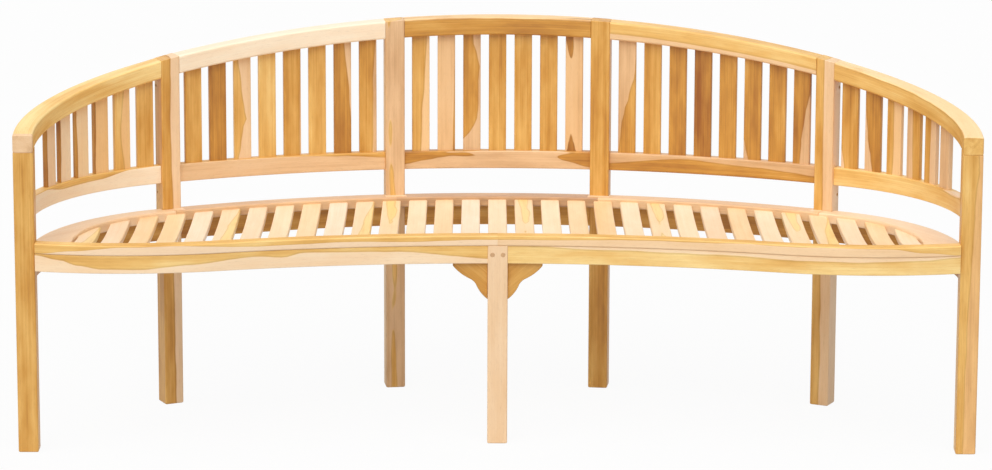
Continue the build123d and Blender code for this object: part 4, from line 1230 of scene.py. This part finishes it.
# Brackets and bearer
def lobe(start, end, bulge, count=12):
    """Points of an arc from start to end that bulges to the right of its way."""
    start, end = Vector(start), Vector(end)
    chord = end - start
    half = chord.length / 2
    radius = (half * half + bulge * bulge) / (2 * bulge)
    right = Vector((chord.y, -chord.x)).normalized()
    center = (start + end) / 2 + right * (bulge - radius)
    sweep = 2 * asin(half / radius)
    first = start - center
    return [center + Matrix.Rotation(sweep * i / count, 2) @ first for i in range(count + 1)]


def softened(points, corner, reach, count=8):
    """Points with those near a corner replaced by a curve."""
    kept = [point for point in points if (point - corner).length >= reach]
    gap = next(i for i in range(len(kept) - 1) if (kept[i] - corner).dot(kept[i + 1] - corner) < 0
               or (kept[i + 1] - kept[i]).length > reach)
    before, after = kept[gap], kept[gap + 1]
    curve = []
    for i in range(1, count):
        share = i / count
        curve.append(before.lerp(corner, share).lerp(corner.lerp(after, share), share))
    return kept[:gap + 1] + curve + kept[gap + 1:]


bracket_size = bracket_high - bracket_low
bracket_foot = (0.0, -bracket_size.z)
bracket_cusp = Vector((BRACKET_CUSP[0], -BRACKET_CUSP[1]))
bracket_tip = (bracket_size.x, -BRACKET_LIP)
lower_edge = lobe(bracket_foot, bracket_cusp, BRACKET_BULGE)
lower_edge += lobe(bracket_cusp, bracket_tip, BRACKET_BULGE)[1:]
bracket_outline = softened(lower_edge, bracket_cusp, BRACKET_HOLLOW / 2)
bracket_outline += [Vector((bracket_size.x, 0.0)), Vector((0.0, 0.0))]
bracket_y = (bracket_low.y + bracket_high.y) / 2
BRACKETS = {"left": Board(deep=0.30, warm=0.45), "right": Board(deep=0.26, warm=0.5)}
BRACKET_GRAIN = radians(40)
for side, sign in SIDES.items():
    corner = Matrix.Translation((sign * HALF_POST, bracket_y, front_apron_low.z))
    upright = Matrix((RIGHT * sign, UP, FRONT * sign)).transposed().to_4x4()
    plank("leg_bracket_" + side, bracket_outline, corner @ upright, bracket_size.y, APRON_EASE,
          BRACKETS[side], "apron_wood", grain_turn=BRACKET_GRAIN)

bearer_front = FRONT_MIDDLE_Y + POST
bearer_rear = BACK_Y + BACK_APRON_SETBACK - SNUG
bearer_step = BACK_Y - BACK_BOARD_FRONT - SNUG
bearer_back, bearer_fore = back_edge(0.0, BACK_BOARD_FRONT), front_edge(0.0, FRONT_BOARD_WIDTH)
bearer_outline = [(bearer_front, bearer_low.z), (bearer_rear, bearer_low.z),
                  (bearer_rear, back_board_low.z - SNUG), (bearer_step, back_board_low.z - SNUG)]
BEARER_STEPS = 24
for i in range(BEARER_STEPS + 1):
    y = bearer_step + (bearer_front - bearer_step) * i / BEARER_STEPS
    share = (bearer_back - y) / (bearer_back - bearer_fore)
    bearer_outline.append((y, seat_top(share) - SEAT_SLAT[1] - SNUG))
lengthwise = Matrix((-FRONT, UP, RIGHT)).transposed().to_4x4()
plank("seat_bearer_center", bearer_outline, lengthwise, bearer_high.x - bearer_low.x, APRON_EASE,
      Board(deep=0.22), "apron_wood")


# Pegs through the tenons and dowels in the boards
PEG_EASE = 0.0008
PEG_PROUD = 0.0004
PEG_LEVELS = {
    "top_rail_pegs": (HALF_POST, rail_lift),
    "lower_rail_pegs": (HALF_POST, lambda s: LOWER_RAIL_Z),
    "back_apron_pegs": (BACK_APRON_OUT, lambda s: BACK_APRON_Z),
}
POST_PLACES = (-OUTER_POST_S, -INNER_POST_S, INNER_POST_S, OUTER_POST_S)
BACK_DOWEL_SHARES = (0.25, 0.75)


def peg(start, direction, length, board):
    across = always(direction.orthogonal().normalized())
    line = straight(start, start + direction * length, length / 2)
    return Strip(line, across, board, eases=(PEG_EASE, PEG_EASE))


def add_pegs(node, pegs, diameter):
    """One piece of round pegs or dowels that stands for a node."""
    add_boards(node, pegs, diameter, diameter, diameter / 2, "peg_wood")


def rail_peg(s, toward, middle, level):
    """Peg from the rear face of a back post through the tenon on one side of it."""
    point, onward, outward = station(s)
    across = onward * (toward * (HALF_POST - TENON_LENGTH / 2))
    start = point + across + outward * (POST + PEG_PROUD) + UP * level(s + toward * HALF_POST)
    length = POST - middle + TENON_THICKNESS / 2 + PEG_OVERRUN + PEG_PROUD
    return peg(start, -outward, length, Board(deep=0.10))


for node, (middle, level) in PEG_LEVELS.items():
    pegs = [rail_peg(s, toward, middle, level) for s in POST_PLACES for toward in (-1, 1)]
    add_pegs(node, pegs, PEG_DIAMETER)

diameter, length, spacing = LEG_PEG
leg_pegs = []
for sign in SIDES.values():
    start = Vector((sign * spacing / 2, FRONT_MIDDLE_Y - PEG_PROUD, FRONT_APRON_Z))
    leg_pegs.append(peg(start, -FRONT, length + PEG_PROUD, Board(SAPWOOD, sap=0.55)))
add_pegs("center_leg_pegs", leg_pegs, diameter)

diameter, length, sink = FRONT_DOWEL
front_dowels = []
for i in range(int((ARM_INNER_X - HALF_POST) // FRONT_DOWEL_PITCH)):
    for sign in SIDES.values():
        x = sign * (HALF_POST + (i + 0.5) * FRONT_DOWEL_PITCH)
        start = Vector((x, front_edge(x, FRONT_APRON_INSET), FRONT_BOARD_BOTTOM - sink))
        front_dowels.append(peg(start, UP, length, Board()))
add_pegs("front_board_dowels", front_dowels, diameter)

diameter, length = BACK_DOWEL
back_dowels = []
dowel_places = [INNER_POST_S / 2]
for near, far in ((INNER_POST_S, OUTER_POST_S), (OUTER_POST_S, BEND_END)):
    dowel_places += [near + (far - near) * share for share in BACK_DOWEL_SHARES]
for s in dowel_places:
    for sign in SIDES.values():
        point, _, outward = station(sign * s)
        start = point + outward * (BACK_APRON_SETBACK + BACK_BOARD_REAR) / 2
        start += UP * (back_board_low.z - length / 2)
        back_dowels.append(peg(start, UP, length, Board()))
add_pegs("back_board_dowels", back_dowels, diameter)

diameter, length = BRACKET_DOWEL
bracket_dowels = []
bracket_x = HALF_POST + bracket_size.x / 2
shared_y = (bracket_low.y + front_edge(bracket_x, FRONT_APRON_SETBACK + APRON_DEPTH)) / 2
for sign in SIDES.values():
    to_leg = Vector((sign * (HALF_POST - length / 2), bracket_y, front_apron_low.z - bracket_size.z / 2))
    bracket_dowels.append(peg(to_leg, RIGHT * sign, length, Board()))
    to_apron = Vector((sign * bracket_x, shared_y, front_apron_low.z - length / 2))
    bracket_dowels.append(peg(to_apron, UP, length, Board()))
add_pegs("bracket_dowels", bracket_dowels, diameter)


# Screws at the bottom of their bores. The cross recess is given in shares of the head
RECESS_WIDTH = 0.14
RECESS_LENGTH = 0.62
RECESS_DEPTH = 0.9


def screw_tree():
    """Round head with a cross recess on a plain shank, set on points that say which way is in."""
    net, given = named_tree("recessed_screw", ["Head Width", "Head Height", "Shank Width", "Shank Length"])

    def rod(width, length):
        return net.add("GeometryNodeMeshCylinder", {"fill_type": "NGON"},
                       {"Vertices": SCREW_SIDES, "Radius": width / 2, "Depth": length})

    def shifted(geometry, rise):
        move = {"Geometry": geometry, "Translation": net.joined(Z=rise)}
        return net.add("GeometryNodeTransform", None, move)

    bars = []
    for long_axis in ("X", "Y"):
        size = {axis: given["Head Width"] * RECESS_WIDTH for axis in "XY"}
        size[long_axis] = given["Head Width"] * RECESS_LENGTH
        size["Z"] = given["Head Height"] * RECESS_DEPTH
        bar = net.add("GeometryNodeMeshCube", None, {"Size": net.joined(**size)})
        bars.append(shifted(bar, given["Head Height"] / -2))
    cross = net.add("GeometryNodeMeshBoolean", {"operation": "UNION", "solver": "EXACT"}, {"Mesh 2": bars[0]})
    net.tree.links.new(bars[1].socket, cross.socket.node.inputs["Mesh 2"])
    head = rod(given["Head Width"], given["Head Height"])
    recessed = net.add("GeometryNodeMeshBoolean", {"operation": "DIFFERENCE", "solver": "EXACT"},
                       {"Mesh 1": head, "Mesh 2": cross})
    reach = (given["Head Height"] + given["Shank Length"]) / 2
    shank = shifted(rod(given["Shank Width"], given["Shank Length"]), reach)
    screw = net.add("GeometryNodeJoinGeometry", None, {"Geometry": recessed})
    net.tree.links.new(shank.socket, screw.socket.node.inputs["Geometry"])
    inward = net.add("GeometryNodeInputNamedAttribute", {"data_type": "FLOAT_VECTOR"}, {"Name": "inward"})
    turn = net.add("FunctionNodeAlignRotationToVector", {"axis": "Z"}, {"Vector": inward})
    points = net.add("GeometryNodeMeshToPoints", None, {"Mesh": given["Geometry"]})
    placed = net.add("GeometryNodeInstanceOnPoints", None,
                     {"Points": points, "Instance": screw, "Rotation": turn})
    real = net.add("GeometryNodeRealizeInstances", None, {"Geometry": placed})
    close_tree(net, real, given["Material"])
    return net.tree


screw_points = []
screw_ways = []
for sign in SIDES.values():
    mouths, inward = screw_places(sign)
    screw_points += [mouth + inward * (SCREW_BORE[1] - SCREW_HEAD[1] / 2) for mouth in mouths]
    screw_ways += [inward] * len(mouths)
screw_mesh = bpy.data.meshes.new("outer_post_screws")
screw_mesh.from_pydata(screw_points, [], [])
store(screw_mesh, "inward", screw_ways)
screws = new_piece("metal.outer_post_screws", screw_mesh)
run_tree(screws, screw_tree(), {
    "Head Width": SCREW_HEAD[0], "Head Height": SCREW_HEAD[1], "Shank Width": SCREW_SHANK[0],
    "Shank Length": SCREW_SHANK[1], "Material": MATERIALS["screw_steel"],
})
finish_piece(screws, "outer_post_screws")


# Stage: pale floor, soft light, white surroundings
FLOOR_SIZE = 60.0
FLOOR_WHITE = 0.65
FLOOR_GLOW = 0.94
AMBIENT = 0.36
WHITE = (1.0, 1.0, 1.0, 1.0)
SUN_TURN = (radians(32), radians(-10), 0.0)
SUN_SPREAD = radians(70)
SUN_STRENGTH = 2.85


def seen_directly(net):
    """1 for what the camera sees, straight or by reflection or through glass."""
    path = net.add("ShaderNodeLightPath").socket.node
    labels = ("Is Camera Ray", "Is Glossy Ray", "Is Transmission Ray")
    straight_ray, glossy_ray, glass_ray = [Wire(net.tree, path.outputs[label]) for label in labels]
    return net.math("MAXIMUM", straight_ray, net.math("MAXIMUM", glossy_ray, glass_ray))


half = FLOOR_SIZE / 2
floor_corners = [(-half, -half, 0), (half, -half, 0), (half, half, 0), (-half, half, 0)]
floor_mesh = bpy.data.meshes.new("floor")
floor_mesh.from_pydata(floor_corners, [], [(0, 1, 2, 3)])
floor = new_piece("floor", floor_mesh)
floor_material = bpy.data.materials.new("pale_floor")
net = cleared(floor_material)
matt = net.add("ShaderNodeBsdfDiffuse", None, {"Color": (FLOOR_WHITE, FLOOR_WHITE, FLOOR_WHITE, 1.0)})
glow = net.add("ShaderNodeEmission", None, {"Color": WHITE, "Strength": 1.0})
mixed = net.add("ShaderNodeMixShader", None, {0: seen_directly(net) * FLOOR_GLOW, 1: matt, 2: glow})
net.add("ShaderNodeOutputMaterial", None, {"Surface": mixed})
floor_mesh.materials.append(floor_material)

world = bpy.data.worlds.new("white_room")
net = cleared(world)
strength = AMBIENT + seen_directly(net) * (1.0 - AMBIENT)
sky = net.add("ShaderNodeBackground", None, {"Color": WHITE, "Strength": strength})
net.add("ShaderNodeOutputWorld", None, {"Surface": sky})
bpy.context.scene.world = world

# Even light from above, from the front and one side
lamp = bpy.data.lights.new("overhead", "SUN")
lamp.energy = SUN_STRENGTH
lamp.angle = SUN_SPREAD
new_piece("overhead", lamp).rotation_euler = SUN_TURN

# Camera at the photograph's place
CAMERA_PLACE = (-0.0327, -9.3019, 2.5131)
CAMERA_PITCH = radians(90 - 12.778)
CAMERA_YAW = radians(-0.182)
CAMERA_ROLL = radians(0.190)
SENSOR_WIDTH = 36.0
FOCAL_LENGTH = 162.3
camera_data = bpy.data.cameras.new("camera")
camera_data.sensor_width = SENSOR_WIDTH
camera_data.lens = FOCAL_LENGTH
camera = new_piece("camera", camera_data)
yaw = Matrix.Rotation(CAMERA_YAW, 4, "Z")
pitch = Matrix.Rotation(CAMERA_PITCH, 4, "X")
roll = Matrix.Rotation(CAMERA_ROLL, 4, "Z")
camera.matrix_world = Matrix.Translation(CAMERA_PLACE) @ (yaw @ pitch @ roll)
bpy.context.scene.camera = camera
bpy.context.scene.view_settings.view_transform = "Standard"
